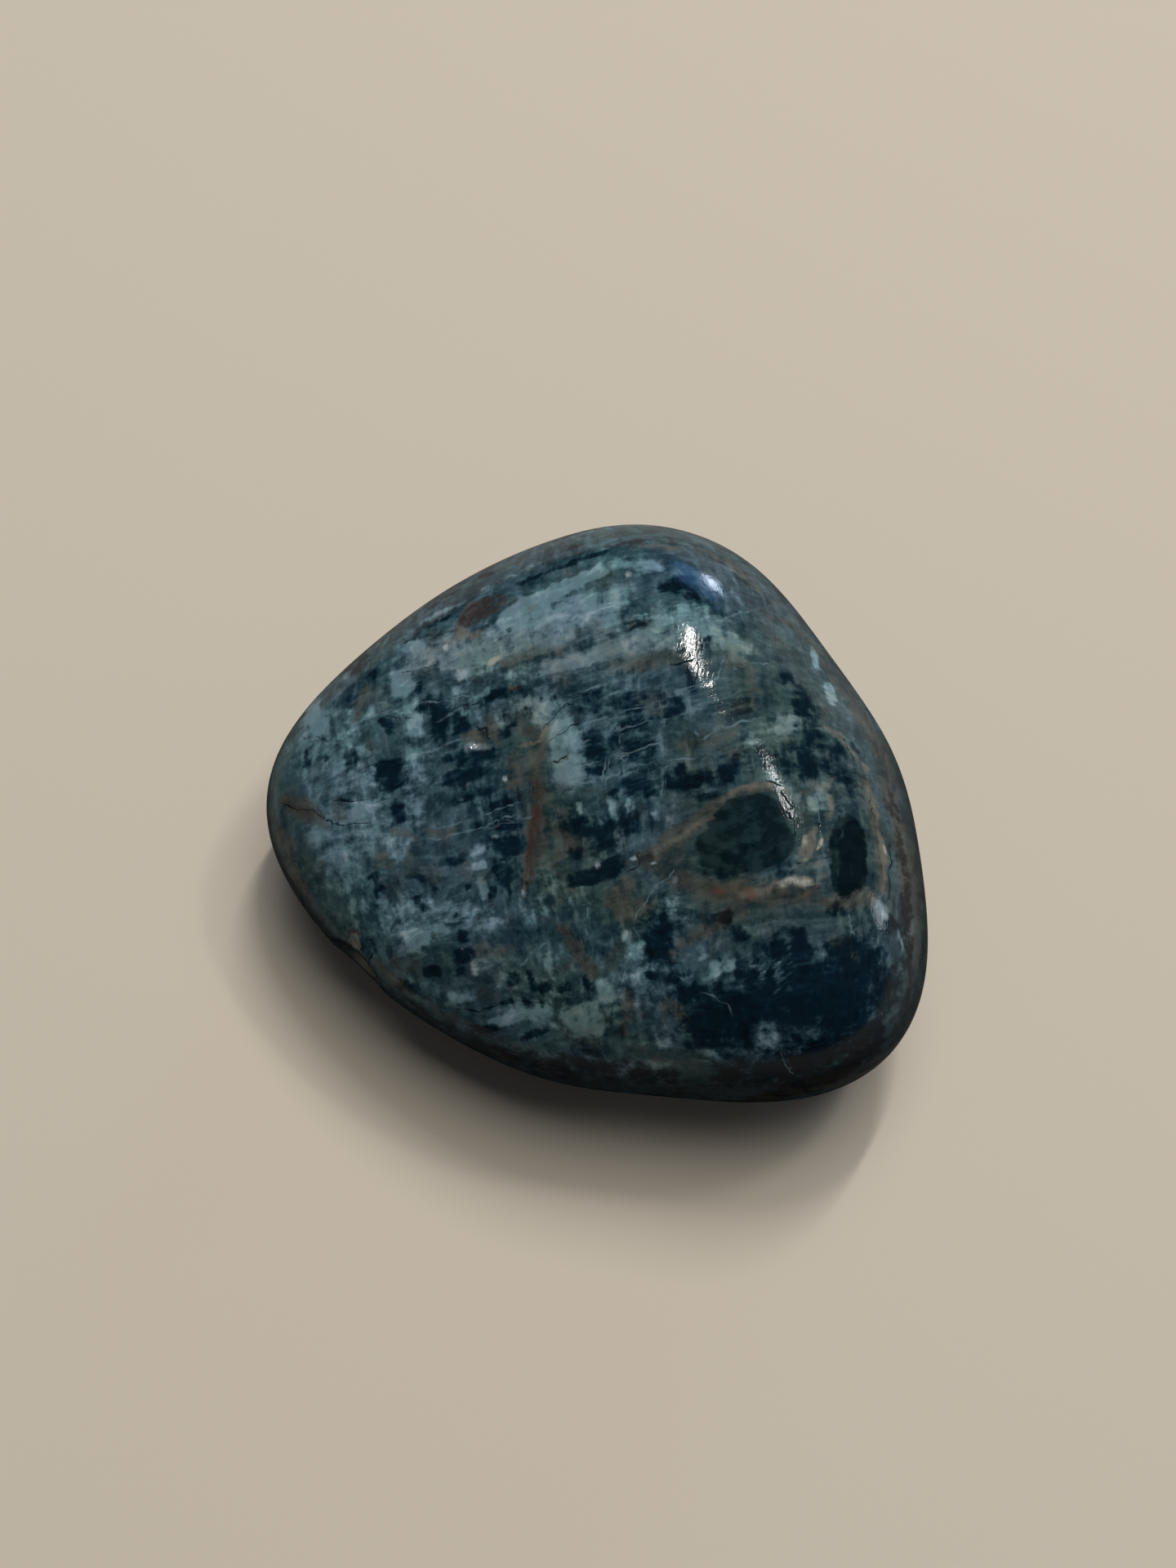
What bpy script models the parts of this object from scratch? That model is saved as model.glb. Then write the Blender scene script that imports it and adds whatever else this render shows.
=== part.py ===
"""A polished apatite pebble: one solid stone with a rounded-triangular outline.

The stone is a wedge. Its crest runs parallel to the right flank, about 11 mm inside it, and its
back slopes down to a thin tip on the left. It rests on a worn flat under its belly.
Lengths are in metres, +Z is up, +X runs from the thin tip to the thick flank, and the origin
is the middle of the stone's box, at its base.
"""

import math

import bmesh
import bpy
import numpy as np
from mathutils import Vector, noise

MM = 0.001
NODE = "apatite_pebble"

# Overall size of the stone.
LENGTH = 52.0 * MM
WIDTH = 47.3 * MM
THICKNESS = 22.0 * MM

# Outline at the girdle: its radius in millimetres every 22.5 degrees, from +X through +Y.
OUTLINE_RADII_MM = (
    24.5, 22.8, 22.8, 23.9, 22.8, 21.5, 21.4, 23.5,
    25.6, 23.8, 22.1, 21.7, 22.7, 25.8, 30.3, 27.5,
)  # fmt: skip

# Profile: the girdle's height over the base, the rise above it and the drop below it.
GIRDLE_HEIGHT = 9.5 * MM
BACK_RISE = 10.0 * MM
BELLY_DROP = 10.2 * MM
SHOULDER_POWER = 3.3  # a higher power gives a flatter back and a rounder shoulder
BELLY_POWER = 3.0

# The wedge: the share by which the rise grows per metre towards the thick flank, and the
# share by which it falls again past the crest.
CREST_HEADING = math.radians(26.0)  # across the crest, from +X towards +Y
CREST_PLACE = 11.0 * MM
CREST_SOFTNESS = 4.5 * MM
RISE_SHARE = 22.0
FALL_SHARE = 48.0

# Broad swells left by hand polishing.
SWELL_HEIGHT = 0.35 * MM
SWELL_LENGTH = 15.0 * MM
SWELL_OFFSET = Vector((3.7, 1.9, 8.4))

# The worn flat that the stone rests on: how far the belly is ground off.
FLAT_DEPTH = 1.0 * MM

# Cage of the soft form, before one level of subdivision.
CAGE_CELLS = 13
SUBDIVISION_LEVELS = 1

# Damage, as ellipsoid bites: the middle of each, its half axes and its heading.
BITES = (
    # A spall out of the rim near the thin tip.
    ("spall", Vector((-18.9, -13.6, 9.0)) * MM, Vector((3.3, 2.2, 3.0)) * MM, -46.0, 3),
    # A small cleavage pit in the back.
    ("pit", Vector((-8.8, 2.1, 18.8)) * MM, Vector((0.9, 1.2, 0.8)) * MM, 8.0, 2),
)

STONE_COLOUR = (0.055, 0.115, 0.145, 1.0)
STONE_ROUGHNESS = 0.2


def clear_scene():
    """Removes every object of the startup scene."""
    for obj in list(bpy.data.objects):
        bpy.data.objects.remove(obj, do_unlink=True)


def collection_of(name):
    """A new collection in the scene."""
    made = bpy.data.collections.new(name)
    bpy.context.scene.collection.children.link(made)
    return made


def soft_ramp(value, softness):
    """Zero below zero and the value itself above it, with a round bend between the two."""
    if value <= -softness:
        return 0.0
    if value < softness:
        return (value + softness) ** 2 / (4 * softness)
    return value


def outline_radius(angle):
    """Radius of the girdle at an angle, by a smooth closed wave through the outline's radii."""
    count = len(OUTLINE_RADII_MM)
    waves = np.fft.rfft(OUTLINE_RADII_MM) / count
    order = np.arange(len(waves))
    weight = np.where((order == 0) | (order == count // 2), 1.0, 2.0)
    return MM * float((weight * (waves * np.exp(1j * order * angle)).real).sum())


def on_sphere(corner):
    """Moves a point of the cube with half side 1 onto the unit sphere, with even spacing."""
    squares = [value * value for value in corner]
    moved = []
    for axis in range(3):
        first = squares[(axis + 1) % 3]
        second = squares[(axis + 2) % 3]
        moved.append(corner[axis] * math.sqrt(1 - first / 2 - second / 2 + first * second / 3))
    return Vector(moved)


def wedge_factor(x, y):
    """How high the back rises at a place: up to the crest, then down past it."""
    along = x * math.cos(CREST_HEADING) + y * math.sin(CREST_HEADING)
    past_crest = soft_ramp(along - CREST_PLACE, CREST_SOFTNESS)
    return 1 + RISE_SHARE * along - FALL_SHARE * past_crest


def swell(point):
    """Height of the polisher's broad swells at a point."""
    return SWELL_HEIGHT * noise.noise(point / SWELL_LENGTH + SWELL_OFFSET)


def stone_point(direction):
    """Place on the stone's surface for a direction from its middle."""
    reach = min(1.0, math.hypot(direction.x, direction.y))
    angle = math.atan2(direction.y, direction.x)
    radius = outline_radius(angle) * reach
    x = radius * math.cos(angle)
    y = radius * math.sin(angle)
    if direction.z >= 0:
        rise = BACK_RISE * wedge_factor(x, y)
        z = GIRDLE_HEIGHT + rise * math.sqrt(1 - reach**SHOULDER_POWER)
    else:
        z = GIRDLE_HEIGHT - BELLY_DROP * math.sqrt(1 - reach**BELLY_POWER)
    point = Vector((x, y, z))
    return point + direction * swell(point)


def evaluated_box(obj):
    """Lowest and highest corner of an object with its modifiers."""
    bpy.context.view_layer.update()
    evaluated = obj.evaluated_get(bpy.context.evaluated_depsgraph_get())
    mesh = evaluated.to_mesh()
    points = np.array([vertex.co for vertex in mesh.vertices])
    evaluated.to_mesh_clear()
    return points.min(axis=0), points.max(axis=0)


def fit_to_size(obj):
    """Scales and moves the cage so that the stone has its stated size once its flat is ground."""
    low, high = evaluated_box(obj)
    scale = np.array((LENGTH, WIDTH, THICKNESS + FLAT_DEPTH)) / (high - low)
    middle = np.array(((low[0] + high[0]) / 2, (low[1] + high[1]) / 2, low[2]))
    for vertex in obj.data.vertices:
        vertex.co = Vector((np.array(vertex.co) - middle) * scale)
        vertex.co.z -= FLAT_DEPTH


def stone_material():
    """Dark teal polished stone."""
    material = bpy.data.materials.new("polished_apatite")
    material.use_nodes = True
    shader = material.node_tree.nodes["Principled BSDF"]
    shader.inputs["Base Color"].default_value = STONE_COLOUR
    shader.inputs["Roughness"].default_value = STONE_ROUGHNESS
    shader.inputs["Metallic"].default_value = 0.0
    material.diffuse_color = STONE_COLOUR
    return material


def make_pebble(stone):
    """The stone's soft form: a cube's grid shaped into the cage, then smoothed."""
    mesh = bpy.data.meshes.new(NODE)
    cage = bmesh.new()
    bmesh.ops.create_cube(cage, size=2.0)
    bmesh.ops.subdivide_edges(cage, edges=cage.edges[:], cuts=CAGE_CELLS - 1, use_grid_fill=True)
    for vertex in cage.verts:
        vertex.co = stone_point(on_sphere(vertex.co))
    bmesh.ops.recalc_face_normals(cage, faces=cage.faces)
    cage.to_mesh(mesh)
    cage.free()
    mesh.shade_smooth()
    mesh.materials.append(stone_material())
    pebble = bpy.data.objects.new(NODE, mesh)
    stone.objects.link(pebble)
    smooth = pebble.modifiers.new("smooth_form", "SUBSURF")
    smooth.levels = SUBDIVISION_LEVELS
    smooth.render_levels = SUBDIVISION_LEVELS
    fit_to_size(pebble)
    return pebble


def cut(pebble, cutters, name, shape, middle, heading=0.0):
    """Cuts a shape out of the stone, with the shape's middle and heading."""
    mesh = bpy.data.meshes.new(name)
    shape.to_mesh(mesh)
    shape.free()
    cutter = bpy.data.objects.new(name, mesh)
    cutter.location = middle
    cutter.rotation_euler.z = math.radians(heading)
    cutter.hide_render = True
    cutter.display_type = "WIRE"
    cutters.objects.link(cutter)
    cutting = pebble.modifiers.new(name, "BOOLEAN")
    cutting.operation = "DIFFERENCE"
    cutting.solver = "EXACT"
    cutting.object = cutter


def grind_flat(pebble, cutters):
    """Grinds the belly off below the base, which leaves the flat that the stone rests on."""
    shape = bmesh.new()
    bmesh.ops.create_cube(shape, size=1.0)
    bmesh.ops.scale(shape, vec=Vector((2 * LENGTH, 2 * WIDTH, THICKNESS)), verts=shape.verts)
    cut(pebble, cutters, "ground_flat", shape, Vector((0.0, 0.0, -THICKNESS / 2)))


def add_bite(pebble, cutters, name, middle, half_axes, heading, subdivisions):
    """Cuts one ellipsoid bite out of the stone."""
    shape = bmesh.new()
    bmesh.ops.create_icosphere(shape, subdivisions=subdivisions, radius=1.0)
    bmesh.ops.scale(shape, vec=half_axes, verts=shape.verts)
    cut(pebble, cutters, name, shape, middle, heading)


def main():
    clear_scene()
    stone = collection_of("apatite pebble")
    cutters = collection_of("cutters")
    pebble = make_pebble(stone)
    grind_flat(pebble, cutters)
    for name, middle, half_axes, heading, subdivisions in BITES:
        add_bite(pebble, cutters, name, middle, half_axes, heading, subdivisions)


main()
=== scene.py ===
"""Dresses the polished apatite pebble: its skin and relief, its markings (among them painted shade, painted
reflections and painted highlights), its finish and a plain studio.
"""

import logging
import math
from collections.abc import Iterator
from dataclasses import dataclass
from enum import Enum

import bpy
import numpy as np
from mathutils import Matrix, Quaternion, Vector
from mathutils.bvhtree import BVHTree

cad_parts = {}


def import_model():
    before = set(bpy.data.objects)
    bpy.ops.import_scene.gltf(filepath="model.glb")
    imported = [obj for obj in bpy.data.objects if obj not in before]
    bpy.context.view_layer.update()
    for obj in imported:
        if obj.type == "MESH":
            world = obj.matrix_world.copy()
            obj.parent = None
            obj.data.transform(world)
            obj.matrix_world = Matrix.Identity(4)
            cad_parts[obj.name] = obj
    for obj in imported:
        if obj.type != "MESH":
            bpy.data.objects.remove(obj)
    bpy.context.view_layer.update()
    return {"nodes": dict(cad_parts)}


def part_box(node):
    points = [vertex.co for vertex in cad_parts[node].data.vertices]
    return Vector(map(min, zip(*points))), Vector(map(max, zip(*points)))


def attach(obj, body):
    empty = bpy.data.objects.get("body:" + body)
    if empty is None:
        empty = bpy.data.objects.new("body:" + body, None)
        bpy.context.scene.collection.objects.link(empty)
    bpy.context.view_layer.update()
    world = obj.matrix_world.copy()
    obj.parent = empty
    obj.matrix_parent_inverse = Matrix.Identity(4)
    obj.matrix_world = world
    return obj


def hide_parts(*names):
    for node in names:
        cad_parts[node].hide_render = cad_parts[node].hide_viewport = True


MM = 0.001
TINY = 1e-12
NODE = "apatite_pebble"
BODY = "root"
MIDDLE = (0.0, 0.0, 10.0 * MM)

Triple = tuple[float, float, float]
Colour = tuple[float, float, float, float]
Socket = bpy.types.NodeSocket
Value = Socket | float | Triple | Colour

log = logging.getLogger("pebble")


class Stain(Enum):
    """What a marking is made of, or the light or shade it paints. The value is the name of the attribute
    that holds it.
    """

    PALE = "pale"
    FROST = "frost"
    NAVY = "navy"
    LENS = "lens"
    SMOKE = "smoke"
    BARK = "bark"
    RUST = "rust"
    TAN = "tan"
    CREAM = "cream"
    CRACK = "crack"
    HAIR = "hair"
    SOFT = "soft"
    VEIN = "vein"
    FIBRE = "fibre"
    DRAB = "drab"
    FLANK = "flank"


THREADS = (Stain.CRACK, Stain.HAIR, Stain.VEIN)


class Side(Enum):
    """How the points of a marking are given: in the view's frame, or in plan from below."""

    VIEW = "view"
    BELLY = "belly"


@dataclass(frozen=True)
class Mark:
    """One marking: a stroke along a path.

    Attributes:
        path: its points, each across, down and half width: pixels of the view's frame on the VIEW
            side, and millimetres along X, along Y and half width on the BELLY side.
        strength: how strongly it shows.
        soft: how far its edge fades, in the path's own units.
    """

    name: str
    stain: Stain
    path: tuple[Triple, ...]
    strength: float
    soft: float
    side: Side


@dataclass(frozen=True)
class Cell:
    """One blocky marking, as cleavage leaves it, or a patch of painted light, in pixels of the view's frame.

    Attributes:
        lean: degrees that every cell rises towards the frame's right.
        fade: how far its edge fades, as a share of its shorter half, from least_soft to most_soft.
        across, down: its middle, from the frame's left and top edges.
        half_wide, half_high: half its width and half its height.
        strength: how strongly it shows.
    """

    lean = 12.0
    fade = 0.6
    least_soft = 2.5
    most_soft = 8.0

    name: str
    stain: Stain
    across: float
    down: float
    half_wide: float
    half_high: float
    strength: float

    @property
    def soft(self) -> float:
        """How far its edge fades."""
        return min(max(self.fade * min(self.half_wide, self.half_high), self.least_soft), self.most_soft)


@dataclass(frozen=True)
class Viewpoint:
    """Where the stone is seen from, and the frame that it is seen in.

    Attributes:
        frame_width, frame_height: the frame's size, in pixels.
        lens_mm, sensor_mm: the focal length, and the sensor's longer side.
        elevation_deg: how far over the floor the stone is seen from.
        eye: where the lens is, in metres.
        nearest, farthest: how close and how far the camera sees, in metres.
    """

    frame_width: int = 1440
    frame_height: int = 1920
    lens_mm: float = 54.08
    sensor_mm: float = 36.0
    elevation_deg: float = 70.0
    eye: Triple = (-0.41 * MM, -62.33 * MM, 186.25 * MM)
    nearest: float = 0.01
    farthest: float = 20.0

    @property
    def focal_pixels(self) -> float:
        """Focal length in pixels of the frame."""
        return self.lens_mm / self.sensor_mm * self.frame_height

    @property
    def basis(self) -> tuple[Triple, Triple, Triple]:
        """Unit directions to the frame's right, to its top and away from the eye."""
        tilt = math.radians(self.elevation_deg)
        rise, run = math.sin(tilt), math.cos(tilt)
        return (1.0, 0.0, 0.0), (0.0, rise, run), (0.0, run, -rise)

    def ray(self, across: float, down: float) -> Vector:
        """Direction from the eye through a point of the frame.

        Args:
            across: pixels from the frame's left edge.
            down: pixels from the frame's top edge.

        Returns:
            The unit direction in the row frame.
        """
        sideways, upward, forward = (Vector(axis) for axis in self.basis)
        right = (across - self.frame_width / 2) / self.focal_pixels
        up = (self.frame_height / 2 - down) / self.focal_pixels
        return (forward + sideways * right + upward * up).normalized()

    def axes(self, lean: float) -> tuple[np.ndarray, np.ndarray, np.ndarray]:
        """The frame's own axes, turned in the frame.

        Args:
            lean: degrees that the first axis rises towards the frame's right.

        Returns:
            Unit vectors along, across and away from the eye.
        """
        sideways, upward, forward = (np.array(axis) for axis in self.basis)
        turn = math.radians(lean)
        along = math.cos(turn) * sideways + math.sin(turn) * upward
        across = math.cos(turn) * upward - math.sin(turn) * sideways
        return along, across, forward

    def pixel_size(self, point: Vector) -> float:
        """Length in metres that one pixel of the frame covers at a point."""
        return (point - Vector(self.eye)).length / self.focal_pixels

    def make_camera(self) -> None:
        """Adds the camera and makes it the scene's own."""
        data = bpy.data.cameras.new("front_view")
        data.lens = self.lens_mm
        data.sensor_width = self.sensor_mm
        data.sensor_fit = "AUTO"
        data.clip_start = self.nearest
        data.clip_end = self.farthest
        camera = bpy.data.objects.new("front_view", data)
        camera.location = self.eye
        camera.rotation_euler = (math.radians(90.0 - self.elevation_deg), 0.0, 0.0)
        bpy.context.scene.collection.objects.link(camera)
        bpy.context.scene.camera = camera


@dataclass(frozen=True)
class Graph:
    """Adds nodes to a tree and links them, so that a finish reads from top to bottom.

    Attributes:
        row_length: how many nodes stand in a row of the node editor.
        spacing: how far apart they stand there, across and down.
        tree: the shader or geometry tree that is added to.
    """

    row_length = 40
    spacing = (180.0, -220.0)

    tree: bpy.types.NodeTree

    def node(self, kind: str, inputs: dict | None = None, **settings) -> bpy.types.Node:
        """Adds one node.

        Args:
            kind: the node's type name.
            inputs: socket names or places, each with a value or a socket to link.
            settings: the node's own properties.

        Returns:
            The new node.
        """
        made = self.tree.nodes.new(kind)
        row, column = divmod(len(self.tree.nodes), self.row_length)
        made.location = (self.spacing[0] * column, self.spacing[1] * row)
        for name, value in settings.items():
            setattr(made, name, value)
        for name, value in (inputs or {}).items():
            if isinstance(value, Socket):
                self.tree.links.new(value, made.inputs[name])
            else:
                made.inputs[name].default_value = value
        return made

    def math(
        self, operation: str, first: Value, second: Value = 0.0, third: Value = 0.0, clamp: bool = False
    ) -> Socket:
        """One number from up to three, by a Math node's operation, kept from 0 to 1 when clamp is set."""
        inputs = {0: first, 1: second, 2: third}
        return self.node("ShaderNodeMath", inputs, operation=operation, use_clamp=clamp).outputs[0]

    def times(self, first: Value, second: Value) -> Socket:
        """The product of two numbers."""
        return self.math("MULTIPLY", first, second)

    def highest(self, first: Value, second: Value) -> Socket:
        """The greater of two numbers."""
        return self.math("MAXIMUM", first, second)

    def line(self, value: Value, slope: Value, start: Value, clamp: bool = False) -> Socket:
        """A number times its slope, on top of a starting number."""
        return self.math("MULTIPLY_ADD", value, slope, start, clamp)

    def vector(self, operation: str, first: Value, second: Value = (0.0, 0.0, 0.0)) -> Socket:
        """One vector from two, by a Vector Math node's operation."""
        made = self.node("ShaderNodeVectorMath", {0: first, 1: second}, operation=operation)
        return made.outputs["Vector"]

    def scaled(self, vector: Value, factor: Value) -> Socket:
        """A vector times a number."""
        made = self.node("ShaderNodeVectorMath", {0: vector, "Scale": factor}, operation="SCALE")
        return made.outputs["Vector"]

    def apart(self, first: Value, second: Value) -> Socket:
        """How far two places are apart."""
        made = self.node("ShaderNodeVectorMath", {0: first, 1: second}, operation="DISTANCE")
        return made.outputs["Value"]

    def step(
        self, value: Socket, low: float, high: float, to_low: float = 0.0, to_high: float = 1.0
    ) -> Socket:
        """A smooth step from to_low, where the value is low, to to_high, where it is high."""
        inputs = {"Value": value, 1: low, 2: high, 3: to_low, 4: to_high}
        return self.node("ShaderNodeMapRange", inputs, interpolation_type="SMOOTHSTEP").outputs[0]

    def noise(
        self, place: Socket, scale: float, detail: float = 3.0, rough: float = 0.55, output: str | int = 0
    ) -> Socket:
        """Fractal noise with so many waves per unit: one number, or three at the "Color" output."""
        inputs = {"Vector": place, "Scale": scale, "Detail": detail, "Roughness": rough}
        return self.node("ShaderNodeTexNoise", inputs, noise_dimensions="3D").outputs[output]

    def mix(self, factor: Value, first: Value, second: Value, blend: str = "MIX") -> Socket:
        """One colour from two, with so much of the second, by a Mix node's blend type."""
        settings = {"data_type": "RGBA", "blend_type": blend, "clamp_factor": True}
        return self.node("ShaderNodeMix", {0: factor, 6: first, 7: second}, **settings).outputs[2]

    def cover(self, base: Value, colour: Value, mask: Value, amount: Value) -> Socket:
        """A colour laid over a base, where a mask says and by some amount."""
        return self.mix(self.times(mask, amount), base, colour)

    def tinted(self, base: Value, colour: Value, amount: Value) -> Socket:
        """A base that a colour tints, by some amount."""
        return self.mix(amount, base, self.mix(1.0, base, colour, "MULTIPLY"))

    def weighed(self, start: float, parts: tuple) -> Socket:
        """A start plus weighted numbers: each a socket, the value that counts as nothing and a weight."""
        total = start
        for socket, neutral, weight in parts:
            total = self.line(self.math("SUBTRACT", socket, neutral), weight, total)
        return total

    def field(self, name: str) -> Socket:
        """The number that the piece's own attribute of that name holds."""
        made = self.node("ShaderNodeAttribute", attribute_type="GEOMETRY", attribute_name=name)
        return made.outputs["Fac"]


def rgb(red: int, green: int, blue: int) -> Colour:
    """Linear colour of an sRGB colour given from 0 to 255."""
    linear = []
    for channel in (red, green, blue):
        value = channel / 255.0
        linear.append(value / 12.92 if value <= 0.04045 else ((value + 0.055) / 1.055) ** 2.4)
    return (*linear, 1.0)


# Strokes in the view's frame, by stain: each has a name, its strength, how far its edge fades, and its
# points, which are across, down and half width. All but the strength are in pixels of that frame.
SOFT_STROKES = (
    ("tip calm", 1, 24, (388, 880, 34), (378, 950, 44), (392, 1030, 44), (420, 1080, 30)),
    ("north calm", 0.6, 16, (640, 760, 22), (720, 720, 22), (800, 700, 18)),
    ("heart calm", 0.7, 10, (696, 920, 20), (698, 950, 20)),
    ("corner calm", 0.6, 24, (900, 1250, 30), (980, 1230, 40), (1050, 1200, 34)),
)

PALE_STROKES = (
    ("west field", 0.5, 26, (395, 900, 50), (430, 1000, 60), (425, 1060, 40)),
    ("column field", 0.5, 12, (495, 830, 20), (505, 900, 16), (508, 1000, 16), (480, 1040, 20)),
    ("south field", 0.42, 22, (480, 1110, 30), (530, 1135, 26), (590, 1120, 24)),
    ("bottom field", 0.36, 20, (600, 1170, 20), (640, 1240, 18), (700, 1245, 30)),
    ("north field", 0.8, 24, (510, 800, 22), (580, 800, 30), (660, 770, 40), (740, 740, 34)),
    ("upper field", 0.8, 24, (680, 810, 22), (760, 790, 26), (850, 760, 30), (900, 790, 20)),
    ("upper east field", 0.15, 20, (860, 880, 20), (920, 900, 24), (960, 890, 18)),
    ("pit field", 0.38, 20, (580, 850, 24), (620, 870, 26), (650, 850, 20)),
    ("brow field", 0.3, 16, (600, 830, 16), (680, 830, 20), (760, 820, 20), (800, 840, 16)),
    ("heart field", 0.8, 14, (660, 860, 22), (695, 900, 22), (695, 950, 20)),
    ("middle field", 0.3, 16, (660, 1060, 16), (690, 1090, 20), (660, 1110, 20)),
    ("post field", 0.42, 14, (770, 1140, 16), (784, 1190, 18), (760, 1240, 16)),
    ("streak", 1.25, 6, (628, 758, 20), (645, 744, 20), (668, 730, 13), (700, 715, 11), (735, 699, 9)),
    ("streak end", 0.85, 8, (735, 697, 10), (765, 690, 9), (800, 692, 10)),
    ("streak foot", 0.9, 6, (606, 782, 9), (618, 772, 10), (640, 762, 8)),
    ("lilac wisp", 0.75, 5, (505, 772, 5), (545, 746, 6), (572, 736, 5)),
    ("rim wisp", 0.7, 4, (590, 722, 5), (640, 697, 4), (668, 686, 4)),
    ("mid streak", 0.95, 6, (664, 822, 9), (699, 811, 11), (748, 800, 10)),
    ("low band", 1, 4, (606, 1250, 6), (637, 1244, 9), (672, 1241, 8)),
    ("low rim", 0.55, 6, (755, 1312, 7), (791, 1308, 8), (822, 1304, 6)),
    ("hatch one", 1.25, 3, (931, 1172, 2.4), (934, 1190, 3.6), (936, 1208, 3)),
    ("hatch two", 1.25, 3, (949, 1174, 3), (952, 1192, 3.6), (953, 1212, 3.4)),
    ("hatch three", 1, 3, (962, 1150, 2), (964, 1190, 2), (966, 1212, 2)),
    ("hatch four", 1, 3, (918, 1164, 2.4), (919, 1190, 2.8)),
    ("lens wall", 0.7, 6, (964, 962, 5), (972, 975, 8), (976, 992, 7), (980, 1006, 5)),
    ("shell apron", 0.6, 5, (1000, 1054, 7), (1002, 1066, 8), (1004, 1078, 6)),
)

NAVY_STROKES = (
    # Painted shade, partly: the lower right's dark stone, darkened further towards the front rim, where the
    # stone turns away from the light.
    ("lower dark and painted shade", 0.9, 30, (870, 1250, 36), (960, 1225, 50), (1035, 1225, 48), (1056, 1180, 36)),
    # Painted shade: the next four darken the front and lower-right rim, where the stone turns away from the
    # light.
    ("corner painted shade", 0.9, 24, (900, 1316, 22), (990, 1296, 26), (1060, 1258, 26), (1090, 1206, 18)),
    ("slope painted shade", 0.65, 14, (620, 1290, 14), (720, 1306, 14), (820, 1320, 14)),
    ("front painted shade", 0.7, 16, (500, 1212, 12), (570, 1292, 15), (700, 1332, 18), (850, 1350, 18)),
    ("front painted shade east", 1.05, 16, (850, 1350, 18), (980, 1332, 20), (1070, 1284, 14)),
    ("coal field", 0.36, 16, (540, 880, 18), (570, 940, 24), (610, 1010, 22), (620, 1080, 18)),
    ("teal field", 0.5, 14, (720, 860, 12), (780, 862, 22), (826, 868, 16)),
    ("grid field", 0.5, 12, (730, 920, 16), (780, 910, 20), (785, 958, 18), (870, 955, 14)),
    ("pool field", 0.55, 16, (700, 1010, 20), (740, 1030, 24), (770, 1000, 18)),
    ("dark middle", 0.55, 16, (810, 1120, 24), (806, 1170, 20), (850, 1215, 20)),
    ("flank shade", 0.6, 14, (1092, 980, 12), (1104, 1040, 14), (1110, 1100, 14), (1108, 1180, 14)),
    ("lens east deep", 1.5, 11, (1044, 1020, 18), (1044, 1052, 20), (1042, 1078, 17)),
    ("east dusk", 0.45, 18, (900, 930, 18), (960, 930, 22), (1020, 920, 24)),
    ("band dusk", 0.4, 10, (860, 1060, 14), (920, 1064, 12), (970, 1060, 10)),
    ("east field", 0.6, 18, (985, 850, 16), (1000, 930, 24), (1050, 960, 16)),
    # Painted shade along the far rim.
    ("far rim painted shade", 0.45, 12, (700, 672, 8), (780, 662, 10), (860, 672, 12), (930, 730, 12)),
    ("rim streak one", 0.9, 4, (522, 748, 4), (545, 732, 5), (560, 722, 4)),
    ("rim streak two", 0.8, 5, (500, 778, 4), (522, 766, 6), (548, 756, 5)),
    ("rim streak three", 0.9, 4, (633, 718, 4), (648, 709, 5), (662, 702, 4)),
    ("rim streak four", 0.95, 4, (670, 702, 4), (700, 690, 6), (740, 676, 5)),
    ("rim streak five", 0.9, 4, (742, 670, 4), (784, 661, 5), (820, 660, 4)),
    ("ledge shade", 0.8, 3, (704, 852, 3), (722, 847, 4), (742, 842, 4)),
    ("slope shade", 0.9, 4, (600, 1230, 3), (625, 1225, 5), (661, 1230, 5)),
    ("ring north", 0.55, 5, (492, 1080, 5), (506, 1073, 6), (522, 1078, 6), (530, 1092, 6)),
    ("ring south", 0.6, 5, (504, 1096, 6), (516, 1108, 7), (528, 1104, 6)),
    ("hollow", 0.7, 6, (618, 880, 7), (624, 888, 9), (616, 898, 8)),
    ("lens east night", 1.1, 9, (1046, 1024, 14), (1048, 1052, 16), (1046, 1076, 13)),
    ("lens east blue", 0.6, 8, (1021, 1030, 8), (1021, 1060, 9), (1024, 1084, 8)),
    ("lens heart night", 0.35, 14, (900, 1040, 16), (930, 1030, 16), (950, 1036, 10)),
)

DRAB_STROKES = (
    ("drab east", 0.95, 50, (930, 800, 60), (970, 880, 80), (1010, 980, 90), (1040, 1080, 80)),
    ("drab middle", 1, 40, (840, 905, 20), (860, 1060, 60), (900, 1110, 50), (980, 1110, 40)),
    ("drab heart", 1, 30, (640, 880, 30), (670, 990, 40), (690, 1060, 50), (760, 1100, 40)),
    ("drab north", 0.7, 24, (520, 810, 26), (600, 800, 30), (680, 800, 24), (840, 790, 24)),
    ("drab tip", 0.8, 20, (345, 985, 24), (360, 1040, 24), (420, 1130, 24)),
    ("drab south", 0.7, 30, (480, 1180, 20), (640, 1190, 30), (740, 1250, 40), (800, 1290, 30)),
    # Painted reflection: the warm floor's reflection along the right flank.
    ("flank warm reflection", 1, 24, (1090, 920, 30), (1130, 1040, 30), (1134, 1150, 26), (1130, 1210, 20)),
)

FIBRE_STROKES = (
    ("fibres west", 0.55, 20, (560, 870, 30), (590, 960, 34), (600, 1040, 34)),
    ("fibres middle", 0.9, 20, (690, 1010, 30), (760, 1010, 34), (790, 990, 24)),
    ("fibres low", 1, 24, (640, 1100, 40), (700, 1150, 60), (700, 1210, 50), (780, 1160, 50)),
    ("fibres east", 0.9, 24, (860, 1140, 30), (920, 1180, 50), (900, 1250, 50), (990, 1280, 40)),
)

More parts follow.
